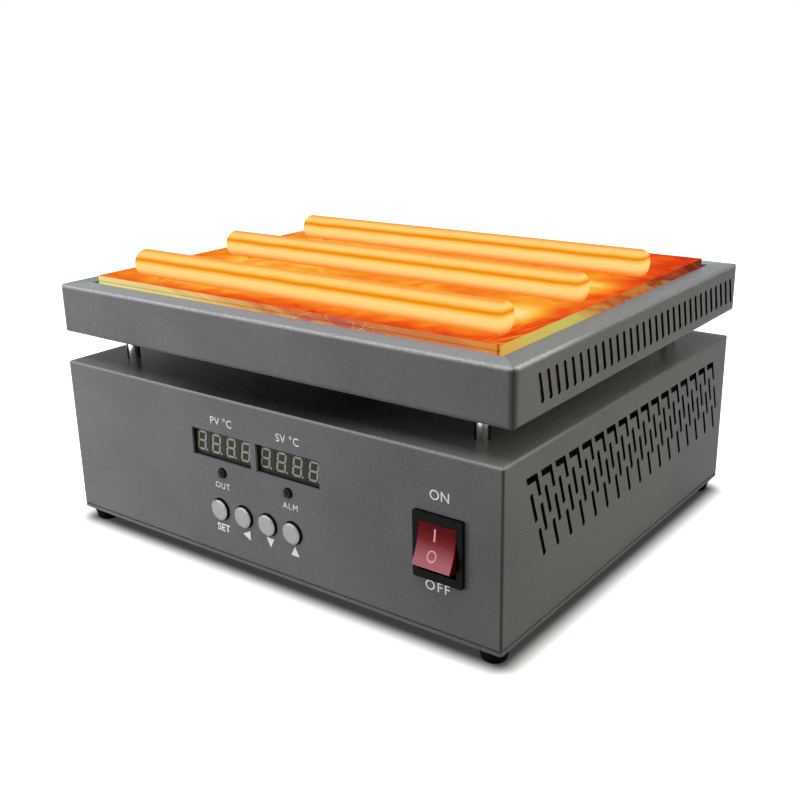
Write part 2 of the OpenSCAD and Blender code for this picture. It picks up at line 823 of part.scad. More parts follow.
module insulation_board() {
    lower = z_floor_top - cut;
    through = insulation_t + 2 * cut;
    color(ceramic) difference() {
        translate([0, 0, z_floor_top]) linear_extrude(insulation_t)
            square([plate_w, plate_d], center = true);
        for (at = corners(post_x, post_y)) rod(at, lower, through, m3[1] + 2 * soft_play);
        for (at = tray_screw_spots) rod(at, lower, through, m3[0] + 2 * soft_play);
        for (at = corners(support_x, support_y)) rod(at, lower, through, support_d + 2 * support_play);
        for (y = tube_y, x = pin_x) rod([x, y], lower, through, terminal_hole_d);
        rod(cutout_at, lower, through, cutout_d + 2 * soft_play);
        rod([0, conduit_y], lower, through, conduit_nut[0] / cos(30) + 2 * soft_play);
    }
}

// Heating plate and its tubes

module heating_plate() {
    color(alloy) difference() {
        translate([0, 0, z_plate]) linear_extrude(plate_t) round_rect(plate_w, plate_d, plate_corner);
        for (y = tube_y, x = pin_x)
            rod([x, y], z_plate - cut, plate_t + 2 * cut, bush_d + 2 * screw_play);
        for (at = corners(support_x, support_y))
            rod(at, z_plate - cut, support_screw_reach + thread_end + cut, m4_hole);
        rod(probe_at, z_plate - cut, probe_reach + thread_end + cut, probe_d + 2 * screw_play);
        for (side = [-1, 1])
            rod([cutout_at[0] + side * cutout_screw_x, cutout_at[1]], z_plate - cut,
                cutout_screw_reach + thread_end + cut, m3_hole);
    }
}

// Round-ended rod along the width, centred on the origin
module tube_form() {
    end = tube_len / 2;
    across = tube_d / 2 - tube_end_r;
    rotate([0, 90, 0]) rotate_extrude() hull() {
        translate([0, -end]) square([across, tube_len]);
        for (side = [-1, 1]) translate([across, side * (end - tube_end_r)]) circle(tube_end_r);
    }
}

module heating_tube(y) {
    color(hot_cream) translate([0, y, 0]) {
        translate([tube_shift, 0, z_tube]) tube_form();
        for (x = pin_x)
            translate([x, 0, z_pin_end]) cylinder(h = z_tube - z_pin_end, d = pin_d);
    }
}

module heating_tube_front() { heating_tube(tube_y[0]); }

module heating_tube_middle() { heating_tube(tube_y[1]); }

module heating_tube_rear() { heating_tube(tube_y[2]); }

module tube_bushes() {
    color(ceramic) for (y = tube_y, x = pin_x)
        translate([x, y, 0]) difference() {
            union() {
                translate([0, 0, z_plate]) cylinder(h = plate_t - bush_short, d = bush_d);
                translate([0, 0, z_plate - bush_flange_t]) cylinder(h = bush_flange_t, d = bush_flange_d);
            }
            translate([0, 0, z_plate - bush_flange_t - cut])
                cylinder(h = plate_t + bush_flange_t + cut, d = pin_d + 2 * screw_play);
        }
}

module terminal_links() {
    // One joins the front and middle tubes on the left, the other the next two on the right
    color(steel) for (i = [0, 1])
        translate([pin_x[i], tube_y[i] + tube_pitch / 2, z_link]) difference() {
            linear_extrude(link_t) round_rect(link_w, tube_pitch + link_w, link_w / 2 - end_flat);
            for (end = [-1, 1])
                rod([0, end * tube_pitch / 2], -cut, link_t + 2 * cut, pin_d + 2 * screw_play);
        }
}

module terminal_nuts() {
    color(steel) for (y = tube_y, x = pin_x)
        translate([x, y, z_terminal_nut]) nut(nut_m4, pin_d + 2 * screw_play);
}

module plate_supports() {
    color(ceramic) for (at = corners(support_x, support_y))
        translate([at[0], at[1], z_floor_top]) difference() {
            cylinder(h = z_plate - z_floor_top, d = support_d);
            translate([0, 0, -cut]) cylinder(h = z_plate - z_floor_top + 2 * cut, d = m4_hole);
        }
}

module plate_screws() {
    color(steel) for (at = corners(support_x, support_y))
        translate([at[0], at[1], z_floor]) rotate([180, 0, 0])
            screw(m4, z_plate - z_floor + support_screw_reach);
}

module temperature_probe() {
    color(steel) translate([probe_at[0], probe_at[1], 0]) {
        translate([0, 0, z_plate]) cylinder(h = probe_reach, d = probe_d);
        translate([0, 0, z_plate - probe_head_h])
            cylinder(h = probe_head_h, d = probe_head_d / cos(30), $fn = 6);
    }
}

module thermal_cutout() {
    color(black) translate([cutout_at[0], cutout_at[1], z_plate]) difference() {
        union() {
            translate([0, 0, -cutout_h]) cylinder(h = cutout_h, d = cutout_d);
            translate([0, 0, -cutout_ear_t]) linear_extrude(cutout_ear_t)
                round_rect(cutout_ear_w, cutout_ear_d, cutout_ear_d / 2 - end_flat);
            for (side = [-1, 1])
                translate([side * cutout_d / 4, 0, -cutout_h - cutout_blade[2] / 2])
                    cube([cutout_blade[1], cutout_blade[0], cutout_blade[2]], center = true);
        }
        for (side = [-1, 1])
            translate([side * cutout_screw_x, 0, -cutout_ear_t - cut])
                cylinder(h = cutout_ear_t + 2 * cut, d = m3_hole);
    }
}

module cutout_screws() {
    color(steel) for (side = [-1, 1])
        translate([cutout_at[0] + side * cutout_screw_x, cutout_at[1], z_plate - cutout_ear_t])
            rotate([180, 0, 0]) screw(m3, cutout_ear_t + cutout_screw_reach);
}

// Display board

module display(x) {
    color(black) difference() {
        translate([x - display_w / 2, y_board - display_d, z_base + window_z - display_h / 2])
            cube([display_w, display_d, display_h]);
        // Shallow wells around the digits
        for (i = [-1.5:1:1.5])
            translate([x + i * segment_pitch, y_board - display_d, z_base + window_z])
                cube([segment_pitch - well_wall, 2 * well_depth, window_h - 2 * well_margin],
                    center = true);
    }
}

module display_actual() { display(window_x[0]); }

module display_set() { display(window_x[1]); }

module lamp(x, tint) {
    straight = y_board - (y_front - lamp_dome);
    color(tint) translate([x, y_board, z_base + lamp_z]) rotate([90, 0, 0]) {
        cylinder(h = straight, d = lamp_d);
        cylinder(h = lamp_flange_t, d = lamp_flange_d);
        translate([0, 0, straight]) intersection() {
            sphere(d = lamp_d);
            cylinder(h = lamp_d, d = lamp_d + cut);
        }
    }
}

module lamp_heat() { lamp(lamp_x[0], lamp_green); }

module lamp_alarm() { lamp(lamp_x[1], lamp_red); }

function board_holes() = [for (x = [board_x0 + board_hole_inset, board_x1 - board_hole_inset],
    z = [board_z0 + board_hole_inset, board_z1 - board_hole_inset]) [x, z]];

module display_board() {
    color(board_green) difference() {
        translate([board_x0, y_board, board_z0]) cube([board_x1 - board_x0, board_t, board_z1 - board_z0]);
        for (at = board_holes())
            translate([at[0], y_board + board_t + cut, at[1]]) rotate([90, 0, 0])
                cylinder(h = board_t + 2 * cut, d = stud_thread_d + 2 * screw_play);
    }
}

module board_studs() {
    color(steel) for (at = board_holes())
        translate([at[0], y_front_in, at[1]]) rotate([-90, 0, 0]) {
            cylinder(h = y_board - y_front_in, d = stud_d);
            cylinder(h = y_board - y_front_in + board_t + nut_m3[1] + thread_end, d = stud_thread_d);
        }
}

module board_nuts() {
    color(steel) for (at = board_holes())
        translate([at[0], y_board + board_t, at[1]]) rotate([-90, 0, 0])
            nut(nut_m3, stud_thread_d + 2 * screw_play);
}

module key_switches() {
    color(black) for (x = button_x)
        translate([x, y_board, button_h]) rotate([90, 0, 0]) difference() {
            translate([-key_w / 2, -key_w / 2, 0]) cube([key_w, key_w, key_d]);
            translate([0, 0, key_back]) cylinder(h = key_d - key_back - key_lip, d = key_chamber_d);
            translate([0, 0, key_back]) cylinder(h = key_d, d = key_bore_d);
        }
}

// Button cap with its plunger, which is held behind the key's lip
module button(x) {
    flange_front = y_key + key_lip + flange_play;
    color(button_grey) translate([x, 0, button_h]) rotate([90, 0, 0]) {
        translate([0, 0, -y_cap_back]) cylinder(h = y_cap_back - y_cap - cap_dome, d = button_d);
        translate([0, 0, -y_cap - cap_dome])
            cylinder(h = cap_dome, d1 = button_d, d2 = button_d - 2 * cap_edge);
        translate([0, 0, -flange_front]) cylinder(h = flange_front - y_cap_back, d = plunger_d);
        translate([0, 0, -flange_front - plunger_flange_t])
            cylinder(h = plunger_flange_t, d = plunger_flange_d);
    }
}

module button_set() { button(button_x[0]); }

module button_left() { button(button_x[1]); }

module button_down() { button(button_x[2]); }

module button_up() { button(button_x[3]); }

// Mains switch

module switch_housing() {
    color(black) translate([switch_x, y_front, switch_h]) difference() {
        union() {
            rotate([90, 0, 0]) linear_extrude(bezel_t) round_rect(bezel_w, bezel_h, bezel_corner);
            translate([-switch_body_w / 2, 0, -switch_body_h / 2])
                cube([switch_body_w, switch_body_d, switch_body_h]);
        }
        translate([-rocker_well_w / 2, -bezel_t - cut, -rocker_well_h / 2])
            cube([rocker_well_w, rocker_well_d + bezel_t + cut, rocker_well_h]);
        translate([-switch_body_w / 2 - cut, pivot_depth, 0]) rotate([0, 90, 0])
            cylinder(h = switch_body_w + 2 * cut, d = pivot_d + 2 * pivot_play);
        for (x = [-blade_x, blade_x], z = [-blade_z, blade_z])
            translate([x, switch_body_d, z])
                cube([blade[0] + 2 * wire_play, 2 * (blade_root + wire_play), blade[1] + 2 * wire_play],
                    center = true);
    }
}

module switch_terminals() {
    color(brass_tone) for (x = [-blade_x, blade_x], z = [-blade_z, blade_z])
        translate([switch_x + x, y_front + switch_body_d + (blade[2] - blade_root) / 2, switch_h + z])
            cube([blade[0], blade[2] + blade_root, blade[1]], center = true);
}

// Rocker tilted to its first stop, its upper end pressed in
module rocker() {
    half = rocker_h / 2;
    shoulder = [rocker_back * rocker_shoulder[0], half * rocker_shoulder[1]];
    color(rocker_red) translate([switch_x, y_pivot, switch_h]) rotate([-rocker_tilt, 0, 0]) {
        difference() {
            translate([-rocker_w / 2, -rocker_front, -half]) cube([rocker_w, rocker_front, rocker_h]);
            // Dished front face
            translate([-rocker_w / 2 - cut, rocker_dish - rocker_front - rocker_hollow_r, 0])
                rotate([0, 90, 0]) cylinder(h = rocker_w + 2 * cut, r = rocker_hollow_r, $fn = 96);
        }
        // Tapered underside with the nose that works the contacts
        rotate([90, 0, 90]) translate([0, 0, -rocker_w / 2]) linear_extrude(rocker_w)
            polygon([[-rocker_overlap, -half], [-rocker_overlap, half], [shoulder[0], shoulder[1]],
                [rocker_back, rocker_nose], [rocker_back, -rocker_nose], [shoulder[0], -shoulder[1]]]);
        translate([-rocker_well_w / 2 - pivot_reach, 0, 0]) rotate([0, 90, 0])
            cylinder(h = rocker_well_w + 2 * pivot_reach, d = pivot_d);
    }
}

// Mains inlet

// Outline of the socket, with its two upper corners cut off
module socket_outline(w, h, corner) {
    polygon([[-w / 2, -h / 2], [w / 2, -h / 2], [w / 2, h / 2 - corner], [w / 2 - corner, h / 2],
        [corner - w / 2, h / 2], [-w / 2, h / 2 - corner]]);
}

function inlet_pin_spots() = [[-pin_spread, socket_up - pin_drop], [pin_spread, socket_up - pin_drop],
    [0, socket_up + earth_rise]];

module inlet_housing() {
    color(black) translate([inlet_x, y_rear, inlet_h]) difference() {
        union() {
            rotate([-90, 0, 0]) linear_extrude(inlet_flange_t) 
                round_rect(inlet_flange_w, inlet_flange_h, inlet_flange_corner);
            translate([-inlet_body_w / 2, -inlet_body_d, -inlet_body_h / 2])
                cube([inlet_body_w, inlet_body_d, inlet_body_h]);
        }
        translate([0, inlet_flange_t - socket_depth, socket_up]) rotate([90, 0, 0]) mirror([0, 0, 1])
            linear_extrude(socket_depth + cut) socket_outline(socket_w, socket_h, socket_corner);
        translate([-drawer_w / 2 - drawer_play, inlet_flange_t - drawer_depth - drawer_play,
            -drawer_down - drawer_h / 2 - drawer_play])
            cube([drawer_w + 2 * drawer_play, drawer_depth + drawer_play + cut, drawer_h + 2 * drawer_play]);
        for (at = inlet_pin_spots())
            translate([at[0], -inlet_body_d, at[1]])
                cube([pin_blade[0] + 2 * wire_play, 2 * inlet_body_d, pin_blade[1] + 2 * wire_play],
                    center = true);
        for (side = [-1, 1])
            translate([side * inlet_screw_x, inlet_flange_t + cut, 0]) rotate([90, 0, 0])
                cylinder(h = inlet_flange_t + 2 * cut, d = m3_hole);
    }
}

module inlet_pins() {
    y0 = -inlet_body_d - pin_tail;
    y1 = inlet_flange_t - pin_short;
    color(brass_tone) for (at = inlet_pin_spots())
        translate([inlet_x + at[0], y_rear + (y0 + y1) / 2, inlet_h + at[1]])
            cube([pin_blade[0], y1 - y0, pin_blade[1]], center = true);
}

module inlet_screws() {
    color(steel) for (side = [-1, 1])
        translate([inlet_x + side * inlet_screw_x, y_rear + inlet_flange_t, inlet_h]) rotate([-90, 0, 0])
            screw(m3, inlet_flange_t + sheet_t + nut_m3[1] + thread_end);
}

module inlet_nuts() {
    color(steel) for (side = [-1, 1])
        translate([inlet_x + side * inlet_screw_x, y_rear_in, inlet_h]) rotate([90, 0, 0])
            nut(nut_m3, m3_hole);
}

module fuse_drawer() {
    inside_y = inlet_flange_t - drawer_depth;
    color(black) translate([inlet_x, y_rear, inlet_h - drawer_down]) difference() {
        union() {
            translate([-drawer_w / 2, inside_y, -drawer_h / 2]) cube([drawer_w, drawer_depth, drawer_h]);
            translate([-drawer_w / 2 - drawer_lip, inlet_flange_t + drawer_play, -drawer_h / 2 - drawer_lip])
                cube([drawer_w + 2 * drawer_lip, drawer_face_t, drawer_h + 2 * drawer_lip]);
            translate([-drawer_w / 2, inlet_flange_t - cut, -drawer_h / 2])
                cube([drawer_w, cut + drawer_play, drawer_h]);
        }
        // Trough for the fuse, open at the top
        translate([-fuse_len / 2 - fuse_seat, fuse_in - fuse_d / 2 - fuse_seat, -fuse_d / 2 - fuse_seat])
            cube([fuse_len + 2 * fuse_seat, fuse_d + 2 * fuse_seat, drawer_h]);
        // Finger notch in the face
        translate([-finger_notch[0] / 2, inlet_flange_t + drawer_play + drawer_face_t - finger_notch[1],
            drawer_h / 2 - finger_notch[2]])
            cube([finger_notch[0], cut, finger_notch[2] + drawer_play]);
    }
}

module fuse() {
    translate([inlet_x - fuse_len / 2, y_rear + fuse_in, inlet_h - drawer_down]) rotate([0, 90, 0]) {
        color(glass_tone) cylinder(h = fuse_len, d = fuse_d - 2 * fuse_neck);
        color(steel) cylinder(h = fuse_cap_len, d = fuse_d);
        color(steel) translate([0, 0, fuse_len - fuse_cap_len]) cylinder(h = fuse_cap_len, d = fuse_d);
    }
}

// Heat sink and relay

function sink_screw_spots() = [for (x = [-1, 1], y = [-1, 1])
    [sink_x + x * (sink_w / 2 + sink_foot_w / 2), sink_y + y * (sink_len / 2 - sink_screw_inset)]];

module heat_sink() {
    fin_step = (sink_w - sink_fin_t) / (sink_fins - 1);
    color(alloy) difference() {
        union() {
            translate([sink_x - sink_w / 2, sink_y - sink_len / 2, z_sink_base])
                cube([sink_w, sink_len, sink_base_t]);
            for (i = [0:sink_fins - 1])
                translate([sink_x - sink_w / 2 + i * fin_step, sink_y - sink_len / 2, z_inside])
                    cube([sink_fin_t, sink_len, sink_fin_h + cut]);
            translate([sink_x - sink_w / 2 - sink_foot_w, sink_y - sink_len / 2, z_inside])
                cube([sink_foot_w + sink_fin_t, sink_len, sink_foot_t]);
            translate([sink_x + sink_w / 2 - sink_fin_t, sink_y - sink_len / 2, z_inside])
                cube([sink_foot_w + sink_fin_t, sink_len, sink_foot_t]);
        }
        for (at = sink_screw_spots()) rod(at, z_inside - cut, sink_foot_t + 2 * cut, m4_hole);
        for (side = [-1, 1])
            rod([sink_x, sink_y + side * relay_screw_y], z_sink_base - cut, sink_base_t + 2 * cut,
                m4_hole);
    }
}

module power_relay() {
    color(black) translate([sink_x, sink_y, z_sink_top]) difference() {
        translate([-relay_w / 2, -relay_len / 2, 0]) cube([relay_w, relay_len, relay_h]);
        // Lower steps at both ends for the mounting screws
        for (side = [-1, 1])
            translate([relay_corner_w - relay_w / 2, side * relay_len / 2 - relay_step_len, relay_step])
                cube([relay_w - 2 * relay_corner_w, 2 * relay_step_len, relay_h]);
        for (side = [-1, 1])
            translate([0, side * relay_screw_y, -cut]) cylinder(h = relay_h, d = m4_hole);
    }
}

module sink_screws() {
    color(steel) {
        for (at = sink_screw_spots())
            translate([at[0], at[1], z_base]) rotate([180, 0, 0])
                screw(m4, bottom_t + sink_foot_t + screw_end);
        for (side = [-1, 1])
            translate([sink_x, sink_y + side * relay_screw_y, z_sink_top + relay_step])
                screw(m4, relay_step + sink_base_t - screw_play);
    }
}

// Control board

function spacer_spots() = [for (x = [-1, 1], y = [-1, 1])
    [control_x + x * (control_w / 2 - spacer_inset), control_y + y * (control_len / 2 - spacer_inset)]];

module control_board() {
    color(board_green) difference() {
        translate([control_x - control_w / 2, control_y - control_len / 2, z_control])
            cube([control_w, control_len, board_t]);
        for (at = spacer_spots()) rod(at, z_control - cut, board_t + 2 * cut, m3_hole);
    }
}

module board_spacers() {
    color(brass_tone) for (at = spacer_spots())
        translate([at[0], at[1], z_inside]) difference() {
            cylinder(h = spacer_h, d = spacer_d, $fn = 6);
            translate([0, 0, -cut]) cylinder(h = spacer_h + 2 * cut, d = m3_hole);
        }
}

// Screws from below and from above share each spacer
module spacer_screws() {
    reach = spacer_h / 2 - 0.5;
    color(steel) for (at = spacer_spots()) {
        translate([at[0], at[1], z_control_top]) screw(m3, board_t + reach);
        translate([at[0], at[1], z_base]) rotate([180, 0, 0]) screw(m3, bottom_t + reach);
    }
}

module board_parts() {
    translate([control_x, control_y, z_control_top]) {
        color(iron) block_at(transformer_at, transformer);
        color(coil_tape) translate([0, 0, bobbin_raise]) block_at(transformer_at, bobbin);
        color(can_blue) for (at = capacitor_at) rod(at, 0, capacitor_h, capacitor_d);
        color(relay_blue) block_at(small_relay_at, small_relay);
        color(black) block_at(chip_at, chip);
        color(plug_green) block_at([0, control_len / 2 - plug_strip_inset], plug_strip);
        color(plug_white) block_at([ribbon_x - control_x, ribbon_inset - control_len / 2], ribbon_plug);
    }
}

// Block that stands on z = 0 at a place
module block_at(at, size) {
    translate([at[0], at[1], size[2] / 2]) cube(size, center = true);
}

module terminal_block() {
    color(block_brown) translate([0, block_y, z_inside]) {
        translate([-block_w / 2, -block_len / 2, 0]) cube([block_w, block_len, block_low]);
        for (i = [0:block_ways])
            translate([(i - block_ways / 2) * block_pitch - block_rib / 2, -block_len / 2, 0])
                cube([block_rib, block_len, block_h]);
        for (i = [0:block_ways - 1], side = [-1, 1])
            rod([(i - 1) * block_pitch, side * block_len / 4], block_low - cut, block_screw_h + cut, m4[1]);
    }
}

module earth_stud() {
    color(brass_tone) translate([earth_at[0], earth_at[1], z_inside]) {
        cylinder(h = earth_stud_h, d = m4[0]);
        cylinder(h = nut_m4[1], d = nut_m4[0] / cos(30), $fn = 6);
        translate([0, 0, earth_nut_raise]) cylinder(h = nut_m4[1], d = nut_m4[0] / cos(30), $fn = 6);
    }
}

// Leads and cable

// Ring around a terminal pin, with a tab that a heater lead is crimped to
module lead_ring(at, turn) {
    translate([at[0], at[1], z_link]) rotate(turn) difference() {
        union() {
            cylinder(h = link_t, d = link_w);
            translate([0, -ring_tab_w / 2, 0]) cube([ring_tab, ring_tab_w, link_t]);
        }
        translate([0, 0, -cut]) cylinder(h = link_t + 2 * cut, d = pin_d + 2 * screw_play);
    }
}

module heater_leads() {
    ring_edge = (bush_flange_d + ring_tab_w) / 2;
    color(sleeve) {
        lead([[pin_x[0], tube_y[2] + ring_edge, z_hot_lead], [pin_x[0], rise_y, z_hot_lead],
            [-conduit_spread, rise_y, z_hot_lead], [-conduit_spread, rise_y, z_heater_low],
            [-block_pitch, rise_y, z_block_lead + block_approach], [-block_pitch, rise_y, z_block_lead],
            [-block_pitch, block_rear, z_block_lead]], lead_d);
        lead([[pin_x[1] + ring_edge, tube_y[0], z_hot_lead], [hot_side, tube_y[0], z_hot_lead],
            [hot_side, rise_y, z_hot_lead], [conduit_spread, rise_y, z_hot_lead],
            [conduit_spread, rise_y, z_heater_low], [block_pitch, rise_y, z_block_lead + block_approach],
            [block_pitch, rise_y, z_block_lead], [block_pitch, block_rear, z_block_lead]], lead_d);
        lead_ring([pin_x[0], tube_y[2]], 90);
        lead_ring([pin_x[1], tube_y[0]], 0);
    }
}

module sensor_leads() {
    drop_y = conduit_y - conduit_back - fine_lead_d / 2;
    probe_edge = probe_at[1] + probe_head_d / 2 + wire_play;
    cutout_edge = cutout_at[1] + cutout_d / 2 + wire_play;
    board_y = control_y + control_len / 2 - plug_strip_inset;
    plug_top = z_control_top + plug_strip[2];
    turn_y = drop_y - conduit_inset;
    color(fine_sleeve) {
        lead([[probe_at[0], probe_edge, z_hot_lead], [probe_at[0], turn_y, z_hot_lead],
            [conduit_spread, drop_y, z_hot_lead], [conduit_spread, drop_y, z_sensor_high],
            [-sensor_bend[0], drop_y - sensor_bend[0], z_sensor_low],
            [control_x + sensor_spread, board_y, z_sensor_low],
            [control_x + sensor_spread, board_y, plug_top]], fine_lead_d);
        lead([[cutout_at[0], cutout_edge, z_hot_lead], [cutout_at[0], turn_y, z_hot_lead],
            [-conduit_spread, drop_y, z_hot_lead], [-conduit_spread, drop_y, z_sensor_high],
            [-sensor_bend[1], turn_y, z_sensor_low],
            [control_x - sensor_spread, board_y, z_sensor_low],
            [control_x - sensor_spread, board_y, plug_top]], fine_lead_d);
    }
}

module mains_leads() {
    tail = y_rear - inlet_body_d - pin_tail;
    blade_end = y_front + switch_body_d + blade[2];
    upper = switch_h + blade_z;
    lower = switch_h - blade_z;
    pin_z = inlet_h + socket_up - pin_drop;
    relay_top = z_sink_top + relay_h;
    relay_y = relay_len / 2 - stub;
    relay_x = relay_w / 2 - relay_corner_w / 2;
    color(lead_brown) {
        // Inlet to switch
        for (side = [-1, 1])
            lead([[inlet_x + side * pin_spread, tail, pin_z],
                [inlet_x + side * pin_spread, tail - stub, pin_z],
                [inlet_x + side * pin_spread, tail - 3 * stub, lead_run_z],
                [switch_x + side * blade_x, blade_end + 4 * stub, lead_run_z],
                [switch_x + side * blade_x, blade_end + stub, upper],
                [switch_x + side * blade_x, blade_end, upper]], lead_d);
        // Switch to relay
        lead([[switch_x - blade_x, blade_end, lower], [switch_x - blade_x, blade_end + stub, lower],
            [switch_x - blade_x, blade_end + 3 * stub, relay_top + stub],
            [sink_x - relay_x, sink_y - relay_y, relay_top + stub],
            [sink_x - relay_x, sink_y - relay_y, relay_top]], lead_d);
        // Relay to terminal block
        lead([[sink_x - relay_x, sink_y + relay_y, relay_top],
            [sink_x - relay_x, sink_y + relay_y, relay_top + stub],
            [block_pitch, block_front - 3 * stub, z_block_lead + block_approach],
            [block_pitch, block_front - stub, z_block_lead],
            [block_pitch, block_front, z_block_lead]], lead_d);
        // Switch to terminal block
        lead([[switch_x + blade_x, blade_end, lower], [switch_x + blade_x, blade_end + stub, lower],
            [switch_x + blade_x, blade_end + 2 * stub, z_floor_run],
            [floor_run_x, blade_end + stub, z_floor_run],
            [stub - block_pitch, block_front - 3 * stub, z_floor_run],
            [-block_pitch, block_front - stub, z_block_lead],
            [-block_pitch, block_front, z_block_lead]], lead_d);
    }
    // Earth lead
    color(lead_green) lead([[inlet_x, tail, inlet_h + socket_up + earth_rise],
        [inlet_x, tail - stub, inlet_h + socket_up + earth_rise],
        [earth_at[0] + earth_bend[0], earth_at[1], z_inside + earth_bend[1]],
        [earth_at[0], earth_at[1], z_inside + earth_stud_h + stub],
        [earth_at[0], earth_at[1], z_inside + earth_stud_h]], lead_d);
}

module ribbon_cable() {
    board_back = y_board + board_t;
    high = z_base + window_z;
    plug_y = control_y - control_len / 2 + ribbon_inset;
    plug_top = z_control_top + ribbon_plug[2];
    color(ribbon_grey) translate([ribbon_x - ribbon_w / 2, 0, 0]) rotate([90, 0, 90])
        linear_extrude(ribbon_w)
            polygon([[board_back, high], [board_back, high - ribbon_t], [plug_y - ribbon_t, high - ribbon_t],
                [plug_y - ribbon_t, plug_top], [plug_y, plug_top], [plug_y, high]]);
}

base_cover();
bottom_plate();
feet();
foot_screws();
cover_screws();
posts();
post_screws_lower();
post_screws_upper();
tray_shell();
tray_floor();
tray_screws();
insulation_board();
heating_plate();
heating_tube_front();
heating_tube_middle();
heating_tube_rear();
tube_bushes();
terminal_links();
terminal_nuts();
plate_supports();
plate_screws();
temperature_probe();
thermal_cutout();
cutout_screws();
lead_conduit();
conduit_nuts();
display_actual();
display_set();
lamp_heat();
lamp_alarm();
display_board();
board_studs();
board_nuts();
key_switches();
button_set();
button_left();
button_down();
button_up();
switch_housing();
switch_terminals();
rocker();
inlet_housing();
inlet_pins();
inlet_screws();
inlet_nuts();
fuse_drawer();
fuse();
heat_sink();
power_relay();
sink_screws();
control_board();
board_spacers();
spacer_screws();
board_parts();
terminal_block();
earth_stud();
heater_leads();
sensor_leads();
mains_leads();
ribbon_cable();
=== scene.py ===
"""Finishes, markings, light and camera of the heating platform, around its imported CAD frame.

Every length is in metres, in the frame of the CAD model: X to the right seen from the front,
Y from the front panel to the rear panel, Z up, and the origin on the table.
"""

import functools
import logging
import math
from collections.abc import Iterable, Sequence
from dataclasses import dataclass, field
from enum import Enum

import bpy
from mathutils import Euler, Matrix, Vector


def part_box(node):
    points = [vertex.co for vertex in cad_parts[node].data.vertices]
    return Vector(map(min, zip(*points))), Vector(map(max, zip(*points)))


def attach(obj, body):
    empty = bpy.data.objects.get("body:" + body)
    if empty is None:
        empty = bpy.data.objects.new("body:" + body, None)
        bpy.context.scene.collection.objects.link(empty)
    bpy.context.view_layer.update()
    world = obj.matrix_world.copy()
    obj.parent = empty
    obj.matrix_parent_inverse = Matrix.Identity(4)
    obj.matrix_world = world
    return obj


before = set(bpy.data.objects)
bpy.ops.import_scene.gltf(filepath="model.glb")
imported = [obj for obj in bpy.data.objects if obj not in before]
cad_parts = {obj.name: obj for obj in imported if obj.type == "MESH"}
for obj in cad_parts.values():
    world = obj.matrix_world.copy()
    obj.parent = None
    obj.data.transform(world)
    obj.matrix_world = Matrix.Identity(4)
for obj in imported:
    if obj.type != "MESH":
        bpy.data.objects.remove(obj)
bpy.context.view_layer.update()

LOG = logging.getLogger("heating_platform")
MM = 0.001

Pair = tuple[float, float]
Triple = tuple[float, float, float]
Point = Pair
Stops = Sequence[tuple[float, str]]
Node = bpy.types.Node
Socket = bpy.types.NodeSocket
Feed = float | str | Sequence[float] | Node | Socket

# Sockets of the Mix node when it mixes colours
MIX_FACTOR, MIX_A, MIX_B, MIX_RESULT = 0, 6, 7, 2


def linear(shade: str) -> tuple[float, float, float, float]:
    """Turns a colour as it is seen on a screen into the one that the shaders use.

    Args:
        shade: An sRGB colour such as "#7e7e80".

    Returns:
        Red, green and blue in linear light, and full alpha.
    """
    channels = [int(shade[i:i + 2], 16) / 255 for i in (1, 3, 5)]
    red, green, blue = (c / 12.92 if c <= 0.04045 else ((c + 0.055) / 1.055) ** 2.4
                        for c in channels)
    return red, green, blue, 1.0


